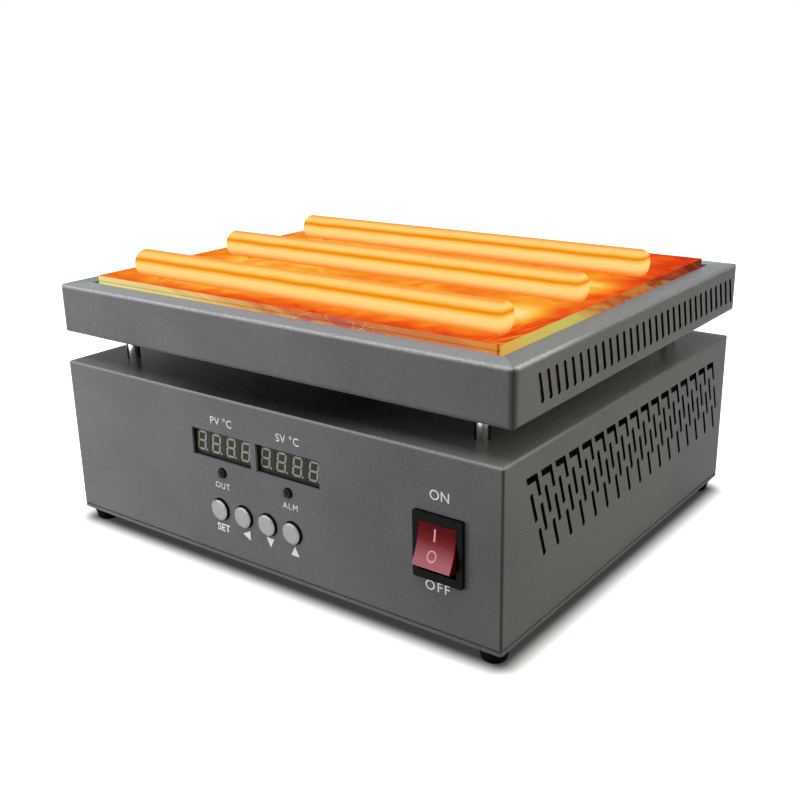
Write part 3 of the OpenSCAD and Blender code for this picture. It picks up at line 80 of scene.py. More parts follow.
@dataclass(frozen=True)
class Net:
    """A node tree, with short ways to add the nodes that the finishes need."""

    tree: bpy.types.NodeTree

    @classmethod
    def emptied(cls, owner: bpy.types.Material | bpy.types.World) -> "Net":
        """Takes the node tree of a new material or world and empties it.

        Args:
            owner: The material or world.

        Returns:
            Its empty net.
        """
        owner.use_nodes = True
        owner.node_tree.nodes.clear()
        return cls(owner.node_tree)

    def add(self, kind: str, sockets: dict[str | int, Feed] | None = None, stops: Stops = (),
            **settings: object) -> Node:
        """Adds a node, with its settings, its values and what feeds it.

        Args:
            kind: The node's Blender type, without the word that all of them begin with.
            sockets: For each input, a value, an sRGB colour, an output, or a node whose first
                output feeds it.
            stops: Places and sRGB colours of a colour ramp, in rising order.
            settings: The node's own properties.

        Returns:
            The new node.
        """
        node = self.tree.nodes.new("ShaderNode" + kind)
        for name, value in settings.items():
            setattr(node, name, value)
        for index, (place, shade) in enumerate(stops):
            elements = node.color_ramp.elements
            element = elements[index] if index < len(elements) else elements.new(place)
            element.position = place
            element.color = linear(shade)
        for key, feed in (sockets or {}).items():
            output = feed.outputs[0] if isinstance(feed, Node) else feed
            if isinstance(output, Socket):
                self.tree.links.new(output, node.inputs[key])
            else:
                node.inputs[key].default_value = linear(feed) if isinstance(feed, str) else feed
        return node

    def math(self, operation: str, *feeds: Feed, **settings: object) -> Node:
        """Calculates with one to three values."""
        return self.add("Math", dict(enumerate(feeds)), operation=operation, **settings)

    def chain(self, operation: str, *feeds: Feed) -> Node:
        """Calculates with any number of values in turn, such as their product or their greatest."""
        return functools.reduce(functools.partial(self.math, operation), feeds)

    def size(self, value: Feed) -> Node:
        """Takes the sign off a value."""
        return self.math("ABSOLUTE", value)

    def length(self, x: Feed, y: Feed) -> Socket:
        """Returns the length of a level vector."""
        level = self.add("CombineXYZ", {0: x, 1: y})
        return self.add("VectorMath", {0: level}, operation="LENGTH").outputs["Value"]

    def span(self, value: Feed, start: float = 0.0, end: float = 1.0, low: float = 0.0,
             high: float = 1.0, smooth: bool = False) -> Node:
        """Turns the values between two limits into those between two others.

        Args:
            value: What gives the values.
            start: The value that becomes the low one.
            end: The value that becomes the high one.
            low: What all values before the start become.
            high: What all values past the end become.
            smooth: Whether the way between them begins and ends softly.

        Returns:
            The new node.
        """
        return self.add("MapRange", {"Value": value, "From Min": start, "From Max": end,
                                     "To Min": low, "To Max": high},
                        interpolation_type="SMOOTHSTEP" if smooth else "LINEAR")

    def ramp(self, value: Feed, stops: Stops) -> Node:
        """Turns a value into a colour."""
        return self.add("ValToRGB", {0: value}, stops)

    def mix(self, share: Feed, first: Feed, second: Feed, **settings: object) -> Socket:
        """Mixes two colours; the share is that of the second one."""
        return self.add("Mix", {MIX_FACTOR: share, MIX_A: first, MIX_B: second}, data_type="RGBA",
                        **settings).outputs[MIX_RESULT]

    def noise(self, size: float, place: Feed | None = None, detail: float = 2.0,
              distortion: float = 0.0) -> Node:
        """Adds soft noise.

        Args:
            size: Size of its waves.
            place: Where it is looked up, if that isn't the point on the surface.
            detail: How many finer layers it has.
            distortion: How much it is swirled.

        Returns:
            The new node.
        """
        spot = self.place() if place is None else place
        return self.add("TexNoise", {"Vector": spot, "Scale": 1 / size, "Detail": detail,
                                     "Distortion": distortion})

    def bump(self, height: Feed, distance: float, strength: float = 1.0) -> Node:
        """Turns a height into relief."""
        return self.add("Bump", {"Height": height, "Distance": distance, "Strength": strength})

    def place(self) -> Socket:
        """Returns the point on the surface in the CAD frame, in metres."""
        return self.add("TexCoord").outputs["Object"]

    def axes(self, vector: Feed) -> Sequence[Socket]:
        """Splits a vector into X, Y and Z."""
        return self.add("SeparateXYZ", {0: vector}).outputs[:]

    def facing(self) -> Sequence[Socket]:
        """Returns X, Y and Z of the way that the surface faces."""
        return self.axes(self.add("TexCoord").outputs["Normal"])


@dataclass(frozen=True)
class Finish:
    """A surface finish: the name of its material, and how its nodes are set up."""

    title: str

    def sockets(self, net: Net) -> dict[str, Feed]:
        """Adds the finish's patterns to a material; each finish has its own.

        Args:
            net: The material's nodes.

        Returns:
            Values and feeds of the shader's sockets.
        """
        raise NotImplementedError


@functools.cache
def material_of(finish: Finish) -> bpy.types.Material:
    """Makes the material of a finish, once for all the pieces that have it.

    Args:
        finish: The finish.

    Returns:
        Its material.
    """
    material = bpy.data.materials.new(finish.title)
    net = Net.emptied(material)
    net.add("OutputMaterial", {"Surface": net.add("BsdfPrincipled", finish.sockets(net))})
    return material


@dataclass(frozen=True)
class PowderCoat(Finish):
    """Sheet steel sprayed with polyester powder and baked: a satin skin with a sandy grain."""

    title: str = "powder_coated_steel"
    light: str = "#8a8a8d"
    dark: str = "#7f7f83"
    # Grit of 0.4 mm, drawn at twice that so that it shows in the picture
    grit: float = 0.9 * MM
    relief: float = 0.09 * MM
    # Over this length the tone drifts
    cloud: float = 45 * MM
    shine: float = 0.025
    # Half width, half depth, bottom and top of the folded sheet
    half_w: float = 1.0
    half_d: float = 1.0
    bottom: float = 0.0
    top: float = 1.0
    # The walls of the narrow side cuts get a painted shade, nearly black. This is how near the cuts
    # come to an edge, and between which depths their walls lie
    margin: float = 0.0
    skin: float = 0.12 * MM
    sheet: float = 1.15 * MM
    cut_wall_shade: str = "#070707"
    # Outer radii of the folds: the upper ones get a painted highlight, most of all at the front,
    # and the upright corners a painted shade
    fold: float = 0.0
    corner: float = 0.0
    worn: str = "#bdbdbf"
    corner_shade: str = "#3c3c3e"
    # A fold's painted highlight is full and gone at these shares of its radius, and it fades to the
    # rear between these shares of the half depth, to this much
    fold_shares: Pair = (0.25, 0.8)
    highlight_fade: Triple = (-0.85, -0.35, 0.2)
    # Painted light on a rim's level top: lighter bluish tones at front and rear, less light at the
    # sides, and how much they cover. The top begins and is full this far below the highest point
    level: tuple[str, str] | None = None
    painted_top_share: float = 0.8
    level_drop: Pair = (0.3 * MM, 0.05 * MM)
    # Under the tray the coat gets a painted shade, full over this half width and fading out at this
    # one
    scorch: Pair | None = None
    scorched: str = "#1b1b1d"
    scorch_share: float = 0.9

    def in_cut(self, net: Net, sizes: Sequence[Node]) -> Node:
        """Works out whether a point lies on the wall of a side cut.

        Args:
            net: The material's nodes.
            sizes: How far the point is from the frame's three planes.

        Returns:
            The node that gives 1 on such a wall, and 0 elsewhere.
        """
        glow_and_highlight_bands = ((self.half_w - (self.skin + self.sheet) / 2, (self.sheet - self.skin) / 2),
                 (0.0, self.half_d - self.margin),
                 ((self.bottom + self.top) / 2, (self.top - self.bottom) / 2 - self.margin))
        within = [net.math("COMPARE", size, *band) for size, band in zip(sizes, glow_and_highlight_bands)]
        return net.chain("MULTIPLY", *within)

    def on_folds(self, net: Net, depths: Sequence[Node]) -> tuple[Node, Node]:
        """Works out how near a point is to an upper fold and to an upright corner.

        Args:
            net: The material's nodes.
            depths: How far the point is inward of the outer faces.

        Returns:
            Nodes that give 1 in the middle of an upper fold and of a corner, and 0 off them.
        """
        full, gone = self.fold_shares
        near = [net.span(depth, full * radius, gone * radius, 1.0, 0.0) for depth, radius
                in zip([*depths, *depths[:2]], [self.fold] * 3 + [self.corner] * 2)]
        side = net.math("MAXIMUM", near[0], near[1])
        return net.math("MULTIPLY", side, near[2]), net.math("MULTIPLY", near[3], near[4])

    def sockets(self, net: Net) -> dict[str, Feed]:
        """Speckles the coat, lets its tone drift, and lays painted light and shade over it: a
        lighter top, highlights on the upper folds, and shade at the upright corners, under the tray
        and on the cut walls.

        Args:
            net: The material's nodes.

        Returns:
            Values and feeds of the shader's sockets.
        """
        place = net.place()
        axes = net.axes(place)
        grit = net.noise(self.grit, place)
        fine = net.math("ADD", grit, net.noise(self.cloud, place))
        sizes = [net.size(axis) for axis in axes]
        depths = [net.math("SUBTRACT", edge, size)
                  for edge, size in zip((self.half_w, self.half_d, self.top), sizes)]
        on_top = net.span(axes[2], *(self.top - drop for drop in self.level_drop))
        layers: list[tuple[Feed, Feed]] = []
        # Painted light on the level top: lighter and bluish at front and rear, less so at the sides
        if self.level:
            aside = net.math("LESS_THAN", depths[0], depths[1])
            layers.append((net.math("MULTIPLY", on_top, self.painted_top_share),
                           net.ramp(aside, list(enumerate(self.level)))))
        if self.fold:
            upper, corner = self.on_folds(net, depths)
            start, end, rear = self.highlight_fade
            highlight_reach = net.span(axes[1], start * self.half_d, end * self.half_d, 1.0, rear,
                              smooth=True)
            # Painted highlight on the upper folds, strongest at the front and speckled by the grit
            highlight_share = net.chain("MULTIPLY", upper, highlight_reach, net.span(grit, 0.3, 0.6, 0.5))
            # Painted shade at the upright corners, then the painted highlight on the upper folds
            layers += [(corner, self.corner_shade), (highlight_share, self.worn)]
        # Painted shade on the top under the tray, darkest in the middle
        if self.scorch:
            under = net.span(sizes[0], *self.scorch, self.scorch_share, 0.0, smooth=True)
            layers.append((net.math("MULTIPLY", under, on_top), self.scorched))
        # Painted shade, nearly black, on the walls of the side cuts
        if self.margin:
            layers.append((self.in_cut(net, sizes), self.cut_wall_shade))
        tone = net.math("MULTIPLY", fine, 0.5)
        coat: Feed = net.ramp(tone, [(0.4, self.dark), (0.6, self.light)])
        for share, shade in layers:
            coat = net.mix(share, coat, shade)
        return {"Base Color": coat, "Roughness": net.span(grit, low=0.22, high=0.34),
                "Specular IOR Level": self.shine, "Normal": net.bump(grit, self.relief, 0.8)}


@dataclass(frozen=True)
class Mottled(Finish):
    """A finish of two near shades in a soft grain, which also has a slight relief."""

    shades: tuple[str, str] = ("#18181a", "#1e1e20")
    roughness: float = 0.4
    grain: float = 1.6 * MM
    relief: float = 0.012 * MM
    # How often the grain repeats along each axis, against the others
    stretch: Triple = (1.0, 1.0, 1.0)

    def sockets(self, net: Net) -> dict[str, Feed]:
        """Draws the grain in both shades and in the relief.

        Args:
            net: The material's nodes.

        Returns:
            Values and feeds of the shader's sockets.
        """
        spot = net.add("Mapping", {"Vector": net.place(), "Scale": self.stretch})
        noise = net.noise(self.grain, spot, 3.0)
        return {"Base Color": net.ramp(noise, [(0.35, self.shades[0]), (0.65, self.shades[1])]),
                "Roughness": self.roughness, "Normal": net.bump(noise, self.relief)}


@dataclass(frozen=True)
class Moulding(Mottled):
    """Injection-moulded plastic; the slight orange peel of its mould softens the highlights."""

    shine: float = 0.5
    glow: float = 0.0

    def sockets(self, net: Net) -> dict[str, Feed]:
        """Adds the plastic's gloss and glow to its grain."""
        return {**super().sockets(net), "Emission Color": self.shades[1],
                "Emission Strength": self.glow, "Specular IOR Level": self.shine}


@dataclass(frozen=True)
class Metal(Mottled):
    """Bare or plated metal; its brushing runs along the axis that the stretch leaves low."""

    shades: tuple[str, str] = ("#a9acb0", "#c3c5c8")
    roughness: float = 0.36
    grain: float = 2 * MM
    relief: float = 0.01 * MM

    def sockets(self, net: Net) -> dict[str, Feed]:
        """Turns the grain into a metal's brushing or spangle."""
        return {**super().sockets(net), "Metallic": 1.0}


@dataclass(frozen=True)
class TurnedRod(Metal):
    """Turned and polished rod: a bright streak along it, between flanks of painted dark reflection.
    """

    painted_flank_shade: str = "#141416"

    def sockets(self, net: Net) -> dict[str, Feed]:
        """Adds flanks of painted dark reflection to the polished metal.

        Args:
            net: The material's nodes.

        Returns:
            Values and feeds of the shader's sockets.
        """
        sockets = super().sockets(net)
        turned = net.add("LayerWeight", {"Blend": 0.5}).outputs["Facing"]
        # Painted dark reflection on the flanks, where the rod turns away
        sockets["Base Color"] = net.mix(net.span(turned, 0.2, 0.45, smooth=True),
                                        sockets["Base Color"], self.painted_flank_shade)
        return sockets


@dataclass(frozen=True)
class RockerPlastic(Finish):
    """Clear red polycarbonate rocker, with painted shade where it faces down or aside, and a
    painted pinkish sheen where it faces up.
    """

    title: str = "moulded_red_polycarbonate"
    painted_shade_red: str = "#6c0b10"
    clear: str = "#93242c"
    painted_sheen_pink: str = "#ca7a84"
    painted_flank_shade: str = "#5a0a12"
    # How much the surface faces up where its painted shade and where its painted sheen are full,
    # how much it faces aside where the painted flank shade begins and is full, and how much the
    # resin's flow strays
    lit: Pair = (0.08, 0.46)
    aside: Pair = (0.75, 0.95)
    stray: float = 0.03
    grain: float = 1.5 * MM

    def sockets(self, net: Net) -> dict[str, Feed]:
        """Paints shade and sheen into the red by the way the surface faces, with a slight flow of
        the resin.

        Args:
            net: The material's nodes.

        Returns:
            Values and feeds of the shader's sockets.
        """
        across, _, up = net.facing()
        flow = net.noise(self.grain)
        lift = net.math("ADD", up, net.span(flow, low=-self.stray, high=self.stray))
        # Painted shade where the face looks down and on the flanks, painted sheen where it looks up
        face = net.ramp(net.span(lift, *self.lit),
                        [(0.0, self.painted_shade_red), (0.4, self.clear), (1.0, self.painted_sheen_pink)])
        on_side = net.span(net.size(across), *self.aside)
        return {"Base Color": net.mix(on_side, face, self.painted_flank_shade), "Roughness": 0.28, "IOR": 1.58,
                "Specular IOR Level": 0.04, "Normal": net.bump(flow, 0.01 * MM)}


@dataclass(frozen=True)
class GlowingTube(Finish):
    """Quartz tube glowing around a hot coil: two creamy streaks of painted highlight between orange
    bands, which also paint the shade at its edges, along its length.
    """

    title: str = "glowing_quartz_tube"
    # Height of the tubes' axes and their radius
    height: float = 0.0
    radius: float = 1.0
    # Size of the bands' flicker, and how far they stray in it
    flicker: float = 16 * MM
    stray: float = 0.02
    # Glow colours from the top of the tube round to its underside, by the share of half a turn: the
    # creamy streaks are painted highlights, the orange top and underside painted shade
    glow_and_highlight_bands: Stops = (
        (0.0, "#f79232"), (0.09, "#faa745"), (0.155, "#fcca6c"), (0.24, "#fdd47c"),
        (0.3, "#fbbe54"), (0.345, "#f4950f"), (0.365, "#f08602"), (0.39, "#f4950f"),
        (0.435, "#fbc35c"), (0.5, "#fdd984"), (0.61, "#fdd07c"), (0.68, "#fcb465"),
        (0.75, "#fa9844"), (0.86, "#f67c26"))

    def sockets(self, net: Net) -> dict[str, Feed]:
        """Colours the glow, with its painted highlights and shade, by the height on the tube, which
        runs on over its closed ends.

        Args:
            net: The material's nodes.

        Returns:
            Values and feeds of the shader's sockets.
        """
        place = net.place()
        sway = net.span(net.noise(self.flicker, place), low=-self.stray, high=self.stray)
        above = net.span(net.axes(place)[2], self.height - self.radius, self.height + self.radius,
                         -1.0)
        share = net.math("MULTIPLY_ADD", net.math("ARCCOSINE", above), 1 / math.pi, sway)
        return {"Base Color": "#160a04", "IOR": 1.46, "Specular IOR Level": 0.02,
                "Emission Strength": 1.0, "Emission Color": net.ramp(share, self.glow_and_highlight_bands)}


@dataclass(frozen=True)
class HotPlate(Finish):
    """Cast plate at full heat: amber between the tubes, redder outside, with fiery wisps."""

    title: str = "red_hot_cast_plate"
    # Where the middle tube lies, how far apart the tubes are, and between where they run
    middle: float = 0.0
    pitch: float = 0.0
    tube_start: float = 0.0
    tube_end: float = 0.0
    half_w: float = 0.0
    half_d: float = 0.0
    top: float = 0.0
    # How much of the plate's sides stands out of the tray
    visible: float = 3.5 * MM
    # A dark lane under each tube reaches this far to both sides. Its heat, and what the amber
    # between the tubes adds at their left and at their right ends
    lane: float = 10 * MM
    lane_heat: float = 0.27
    amber: Pair = (0.06, 0.42)
    # The amber fades between these places, from the tubes' ends and from the outer tubes outwards
    past_ends: Pair = (-16 * MM, 5 * MM)
    past_sides: Pair = (-2 * MM, 13 * MM)
    # Heat outside the tubes, what its left part adds, and how much cooler the rear right corner is
    outer_heat: float = 0.28
    left_heat: float = 0.24
    cooler: float = 0.2
    # Size of the wisps, and what they take from the heat and add to it
    wisp: float = 26 * MM
    wisp_heat: Pair = (-0.16, 0.18)
    # Streaks that fan out from near the front right corner: their origin, inward of the tubes' ends
    # and ahead of the plate, how often they follow each other round it and outwards from it, what
    # they take from the heat and add to it, and over which distances they fade
    fan_from: Pair = (4 * MM, 6 * MM)
    fan_turn: float = 15.0
    fan_reach: float = 22.0
    fan_heat: Pair = (-0.1, 0.36)
    fan_fade: Pair = (20 * MM, 75 * MM)
    # Only what lies this near the plate's outline shows temper colours
    rim: float = 1.5 * MM
    # Heat of the top from the coolest to the hottest places
    heat: Stops = (
        (0.0, "#a82a10"), (0.14, "#d23a14"), (0.3, "#ee571c"), (0.45, "#f37a20"),
        (0.6, "#f79828"), (0.75, "#fbb441"), (0.88, "#fdca64"), (1.0, "#fee49c"))
    # The sides' colours run this much further on for each unit down, in veins of this size, by
    # which their borders stray this far
    slant: float = 2.6
    vein: float = 17 * MM
    stray: float = 0.11
    # Size of the front side's curls, half width of their threads in the noise, how much of the
    # side's length has them, and their colour
    curl: float = 22 * MM
    thread_half: float = 0.022
    curled_part: Stops = ((0.46, "#000000"), (0.54, "#d0d0d0"), (0.72, "#d0d0d0"), (0.8, "#000000"))
    thread: str = "#f0c470"
    # Width and tones of a darker band near the front side's right corner, and tones down that side
    edge: float = 3 * MM
    edge_tones: Stops = (
        (0.0, "#ffffff"), (0.3, "#ffffff"), (0.5, "#b98a62"), (0.62, "#b98a62"), (0.78, "#ffffff"))
    line_tones: Stops = ((0.0, "#ffffff"), (0.6, "#fffcf4"), (0.74, "#e6dcc6"), (0.84, "#dcd0b6"),
                         (0.92, "#ffffff"), (1.0, "#ffffff"))
    # Temper colours of the right side, from the yellow-green corner to the dark rear
    side: Stops = (
        (0.0, "#d8a850"), (0.08, "#cdb75c"), (0.24, "#c6bd60"), (0.36, "#c49244"),
        (0.46, "#b84a2a"), (0.58, "#c07e38"), (0.7, "#8a2a20"), (0.8, "#a8492a"),
        (0.9, "#6e2416"), (1.0, "#98502c"))
    # Temper colours of the front side, from the pale left corner to the brown right one
    front: Stops = (
        (0.0, "#e9dd98"), (0.2, "#e4cf8a"), (0.36, "#e0ae68"), (0.48, "#d69656"), (0.56, "#cc7050"),
        (0.64, "#c05e50"), (0.74, "#cc7a4e"), (0.88, "#cc7c48"), (1.0, "#d88c44"))

    def sockets(self, net: Net) -> dict[str, Feed]:
        """Works out the heat of the top and the temper colours of the sides.

        Args:
            net: The material's nodes.

        Returns:
            Values and feeds of the shader's sockets.
        """
        x, y, z = net.axes(net.place())
        top = net.ramp(self.top_heat(net, x, y), self.heat)
        side = self.along_side(net, y, z, self.half_d, self.side)
        front = self.marked(net, x, z, self.along_side(net, x, z, self.half_w, self.front))
        _, ahead, up = net.facing()
        sides = net.mix(net.span(net.size(ahead), 0.5, 0.8), side, front)
        inner = [net.math("LESS_THAN", net.size(axis), half - self.rim)
                 for axis, half in ((x, self.half_w), (y, self.half_d))]
        hot = net.math("MAXIMUM", net.span(up, 0.3, 0.8), net.math("MULTIPLY", *inner))
        return {"Base Color": "#0c0402", "Roughness": 0.6, "Specular IOR Level": 0.0,
                "Emission Strength": 1.0, "Emission Color": net.mix(hot, sides, top)}

    def top_heat(self, net: Net, x: Socket, y: Socket) -> Node:
        """Works out how hot the top looks at each place.

        Args:
            net: The material's nodes.
            x: The place along the tubes.
            y: The place across them.

        Returns:
            The node that gives the heat, from 0 to 1.
        """
        off = net.math("SUBTRACT", y, self.middle)
        lane = net.size(net.math("WRAP", off, self.pitch / 2, -self.pitch / 2))
        between = net.span(lane, self.lane, self.pitch / 2, smooth=True)
        along = net.span(x, self.tube_start, self.tube_end, *self.amber)
        amber = net.math("MULTIPLY_ADD", between, along, self.lane_heat)
        half = (self.tube_end - self.tube_start) / 2
        length = net.size(net.math("SUBTRACT", x, self.tube_end - half))
        among = [net.span(size, *(edge + past for past in fade), 1.0, 0.0, smooth=True)
                 for size, edge, fade in ((length, half, self.past_ends),
                                          (net.size(off), self.pitch, self.past_sides))]
        left = net.span(x, -0.75 * self.half_w, -0.1 * self.half_w, self.left_heat, 0.0)
        back = net.span(off, -1.4 * self.pitch, -0.8 * self.pitch, 0.3)
        outside = net.math("MULTIPLY_ADD", left, back, self.outer_heat)
        warm = net.math("MULTIPLY_ADD", net.math("MULTIPLY", *among), amber, outside)
        right = net.span(x, 0.8 * self.tube_end, self.half_w, high=self.cooler)
        cooled = net.math("MULTIPLY", right, net.span(y, -0.3 * self.half_d, self.half_d))
        wisp = net.noise(self.wisp, detail=4.0, distortion=1.6)
        ragged = net.span(wisp, 0.25, 0.75, *self.wisp_heat)
        return net.chain("ADD", net.math("SUBTRACT", warm, cooled), ragged,
                         self.corner_blaze(net, x, y))

    def corner_blaze(self, net: Net, x: Socket, y: Socket) -> Node:
        """Works out the fiery streaks that fan out from the front right corner.

        Args:
            net: The material's nodes.
            x: The place along the tubes.
            y: The place across them.

        Returns:
            The node that gives what the streaks add to the heat.
        """
        from_x = net.math("SUBTRACT", x, self.tube_end - self.fan_from[0])
        from_y = net.math("SUBTRACT", y, -self.half_d - self.fan_from[1])
        turn = net.math("ARCTAN2", from_y, from_x)
        reach = net.length(from_x, from_y)
        fan = net.add("CombineXYZ", {0: net.math("MULTIPLY", turn, self.fan_turn),
                                     1: net.math("MULTIPLY", reach, self.fan_reach)})
        sharp = net.span(net.noise(1.0, fan, 3.0, 0.6), 0.47, 0.68, *self.fan_heat)
        fade = net.span(reach, *self.fan_fade, 1.0, 0.0, smooth=True)
        right = net.span(from_x, -6 * MM, 4 * MM)
        return net.chain("MULTIPLY", fade, right, sharp)

    def along_side(self, net: Net, run: Socket, z: Socket, half: float, shades: Stops) -> Node:
        """Lays temper colours along a side, with slanting and swirled borders.

        Args:
            net: The material's nodes.
            run: The place along the side.
            z: The height.
            half: Half of the side's length.
            shades: The colours, by the share of the length.

        Returns:
            The node that gives the colour.
        """
        slanted = net.math("MULTIPLY_ADD", z, self.slant, run)
        vein = net.noise(self.vein, net.add("CombineXYZ", {0: slanted, 2: z}), 3.0, 0.8)
        share = net.span(slanted, -half + self.slant * self.top, half + self.slant * self.top)
        swirl = net.span(vein, 0.3, 0.7, -self.stray, self.stray)
        return net.ramp(net.math("ADD", share, swirl), shades)

    def marked(self, net: Net, x: Socket, z: Socket, shade: Node) -> Socket:
        """Draws thin bright curls, a darker band near the right edge and lines along the front
        side.

        Args:
            net: The material's nodes.
            x: The place along the side.
            z: The height.
            shade: The node that gives the side's colour.

        Returns:
            The output that gives the colour with its marks.
        """
        swirl = net.noise(self.curl, detail=1.0, distortion=2.0)
        off = net.size(net.math("SUBTRACT", swirl, 0.5))
        thread = net.span(off, 0.0, self.thread_half, 0.8, 0.0)
        part = net.ramp(net.span(x, -self.half_w, self.half_w), self.curled_part)
        marked = net.mix(net.math("MULTIPLY", thread, part), shade, self.thread)
        inward = net.span(x, self.half_w - self.edge, self.half_w)
        depth = net.span(z, self.top, self.top - self.visible)
        for place, tones in ((inward, self.edge_tones), (depth, self.line_tones)):
            marked = net.mix(1.0, marked, net.ramp(place, tones), blend_type="MULTIPLY")
        return marked


@dataclass(frozen=True)
class Lens(Finish):
    """Deeply tinted polycarbonate lens of a lamp that is off: near black, with its gloss."""

    shades: tuple[str, str] = ("#050806", "#0c120e")

    def sockets(self, net: Net) -> dict[str, Feed]:
        """Sets the lens's gloss and lets its tint deepen towards the middle.

        Args:
            net: The material's nodes.

        Returns:
            Values and feeds of the shader's sockets.
        """
        edge = net.add("LayerWeight", {"Blend": 0.35}).outputs["Facing"]
        return {"Base Color": net.ramp(edge, [(0.1, self.shades[0]), (0.9, self.shades[1])]),
                "Roughness": 0.06, "IOR": 1.58, "Specular IOR Level": 0.12}


@dataclass(frozen=True)
class ButtonCap(Finish):
    """Satin aluminium disc on the button's face, with painted dark shade on the button's sides."""

    title: str = "aluminium_button_with_painted_shade_sides"
    # Turning marks of the disc, drawn coarse enough to show
    mark: float = 0.5 * MM
    # The way that the surface faces along Y where the disc begins and is full, off which the sides
    # get a painted dark shade, and how much of a metal the disc is
    ahead: Pair = (-0.55, -0.72)
    metal: float = 0.45

    def sockets(self, net: Net) -> dict[str, Feed]:
        """Tells the disc from the sides, which get a painted dark shade, by the way the surface
        faces.

        Args:
            net: The material's nodes.

        Returns:
            Values and feeds of the shader's sockets.
        """
        disc = net.span(net.facing()[1], *self.ahead)
        grain = net.noise(self.mark)
        satin = net.ramp(grain, [(0.35, "#8b8b8e"), (0.65, "#98989b")])
        # Painted dark shade on the button's sides, where they face away from the front
        return {"Base Color": net.mix(disc, "#19191b", satin), "Roughness": 0.34,
                "Metallic": net.math("MULTIPLY", disc, self.metal),
                "Normal": net.bump(grain, 0.006 * MM)}


@dataclass(frozen=True)
class CircuitBoard(Finish):
    """Glass-epoxy laminate under green solder mask, with the copper tracks showing through."""

    title: str = "solder_masked_laminate"
    track: float = 3 * MM

    def sockets(self, net: Net) -> dict[str, Feed]:
        """Draws the tracks as the borders of square cells.

        Args:
            net: The material's nodes.

        Returns:
            Values and feeds of the shader's sockets.
        """
        voronoi = net.add("TexVoronoi", {"Vector": net.place(), "Scale": 1 / self.track,
                                         "Randomness": 0.7}, distance="CHEBYCHEV")
        cells = voronoi.outputs["Distance"]
        return {"Base Color": net.ramp(cells, [(0.3, "#123f24"), (0.42, "#2c7a48")]),
                "Roughness": 0.3, "IOR": 1.55, "Normal": net.bump(cells, 0.03 * MM)}


@dataclass(frozen=True)
class WovenSleeve(Finish):
    """Braided glass-fibre sleeve over a heatproof lead, with its criss-cross of yarns."""

    title: str = "braided_glass_sleeve"
    # Yarns of 0.3 mm, drawn at twice that so that they show
    yarn: float = 0.6 * MM

    def sockets(self, net: Net) -> dict[str, Feed]:
        """Crosses two sets of slanting waves into a braid.

        Args:
            net: The material's nodes.

        Returns:
            Values and feeds of the shader's sockets.
        """
        place = net.place()
        turned = [net.add("Mapping", {"Vector": place, "Rotation": [math.radians(lean)] * 3})
                  for lean in (45, -45)]
        waves = [net.add("TexWave", {"Vector": spot, "Scale": 1 / self.yarn / 6.28,
                                     "Distortion": 0.5}).outputs["Fac"] for spot in turned]
        braid = net.math("MAXIMUM", *waves)
        return {"Base Color": net.ramp(braid, [(0.2, "#a39c8a"), (0.9, "#e4dfd0")]),
                "Roughness": 0.85, "Sheen Weight": 0.2, "Normal": net.bump(braid, 0.15 * MM)}


@dataclass(frozen=True)
class FuseGlass(Finish):
    """Clear glass tube between nickel caps, told apart along the fuse's length."""

    title: str = "fuse_glass_and_caps"
    middle: float = 0.0
    glass_half: float = 0.0

    def sockets(self, net: Net) -> dict[str, Feed]:
        """Makes the middle clear and both ends metal.

        Args:
            net: The material's nodes.

        Returns:
            Values and feeds of the shader's sockets.
        """
        off = net.math("SUBTRACT", net.axes(net.place())[0], self.middle)
        cap = net.math("GREATER_THAN", net.size(off), self.glass_half)
        return {"Base Color": "#c9ccce", "Roughness": 0.12, "Metallic": cap,
                "Transmission Weight": net.math("SUBTRACT", 0.9, cap, use_clamp=True)}


# White ink with a painted glow, which keeps its brightness in the shade
PANEL_INK = Moulding("screen_printed_ink", ("#e0e0e4", "#eeeef2"), 0.55, 0.7 * MM, glow=0.25)
# The signs' ink has a painted glow too
SIGN_INK = Moulding("pad_printed_ink", ("#d59aa0", "#e0a8ae"), 0.5, 0.7 * MM, glow=0.2)
HOT_STEATITE = Moulding("glowing_steatite", ("#30140a", "#e8641c"), 0.6, 3 * MM, glow=0.9)
BLACK_ABS = Moulding("moulded_black_abs", ("#161617", "#1c1c1e"), 0.45)
GLOSS_NYLON = Moulding("gloss_black_nylon", ("#0a0a0c", "#0e0e10"), 0.3, shine=0.05)
DISPLAY_FACE = Moulding("smoked_display_face", ("#383634", "#3f3d3b"), 0.35, 0.8 * MM, shine=0.1)
SEGMENT_RESIN = Moulding("milky_segment_resin", ("#96927f", "#aaa692"), 0.4, 2.5 * MM)
PART_EPOXY = Moulding("moulded_black_epoxy", ("#1b1b1d", "#28282a"), 0.5)
LEAD_PVC = Moulding("extruded_pvc_insulation", ("#7a1c1c", "#8a2222"), 0.45)
RIBBON_PVC = Moulding("grey_ribbon_pvc", ("#8f9194", "#a7a9ac"), 0.5, 1.27 * MM)
FOOT_RUBBER = Moulding("moulded_nitrile_rubber", ("#070708", "#0c0c0d"), 0.75, 0.8 * MM, 0.03 * MM,
                       shine=0.05)
FIRED_CERAMIC = Moulding("fired_steatite", ("#ddd7c8", "#efeadd"), 0.55, 3 * MM)
FIBRE_BOARD = Moulding("pressed_ceramic_fibre", ("#cfc9ba", "#e6e1d4"), 0.9, 2 * MM, 0.15 * MM)
ZINC_STEEL = Metal("zinc_plated_steel")
POLISHED_STEEL = TurnedRod("turned_polished_steel", ("#c9c9c8", "#d8d8d6"), 0.14, 1 * MM,
                           0.004 * MM, (1, 1, 12))
BARE_ALUMINIUM = Metal("extruded_aluminium", ("#b9bcbf", "#d0d2d4"), 0.42, 1.5 * MM, 0.01 * MM,
                       (12, 0.3, 12))
TURNED_BRASS = Metal("turned_brass", ("#c79f4a", "#dcb866"), 0.3, 1 * MM, 0.006 * MM)
GREEN_LENS = Lens("tinted_green_lens", ("#060a08", "#131a16"))
RED_LENS = Lens("tinted_red_lens", ("#120408", "#2a0e14"))


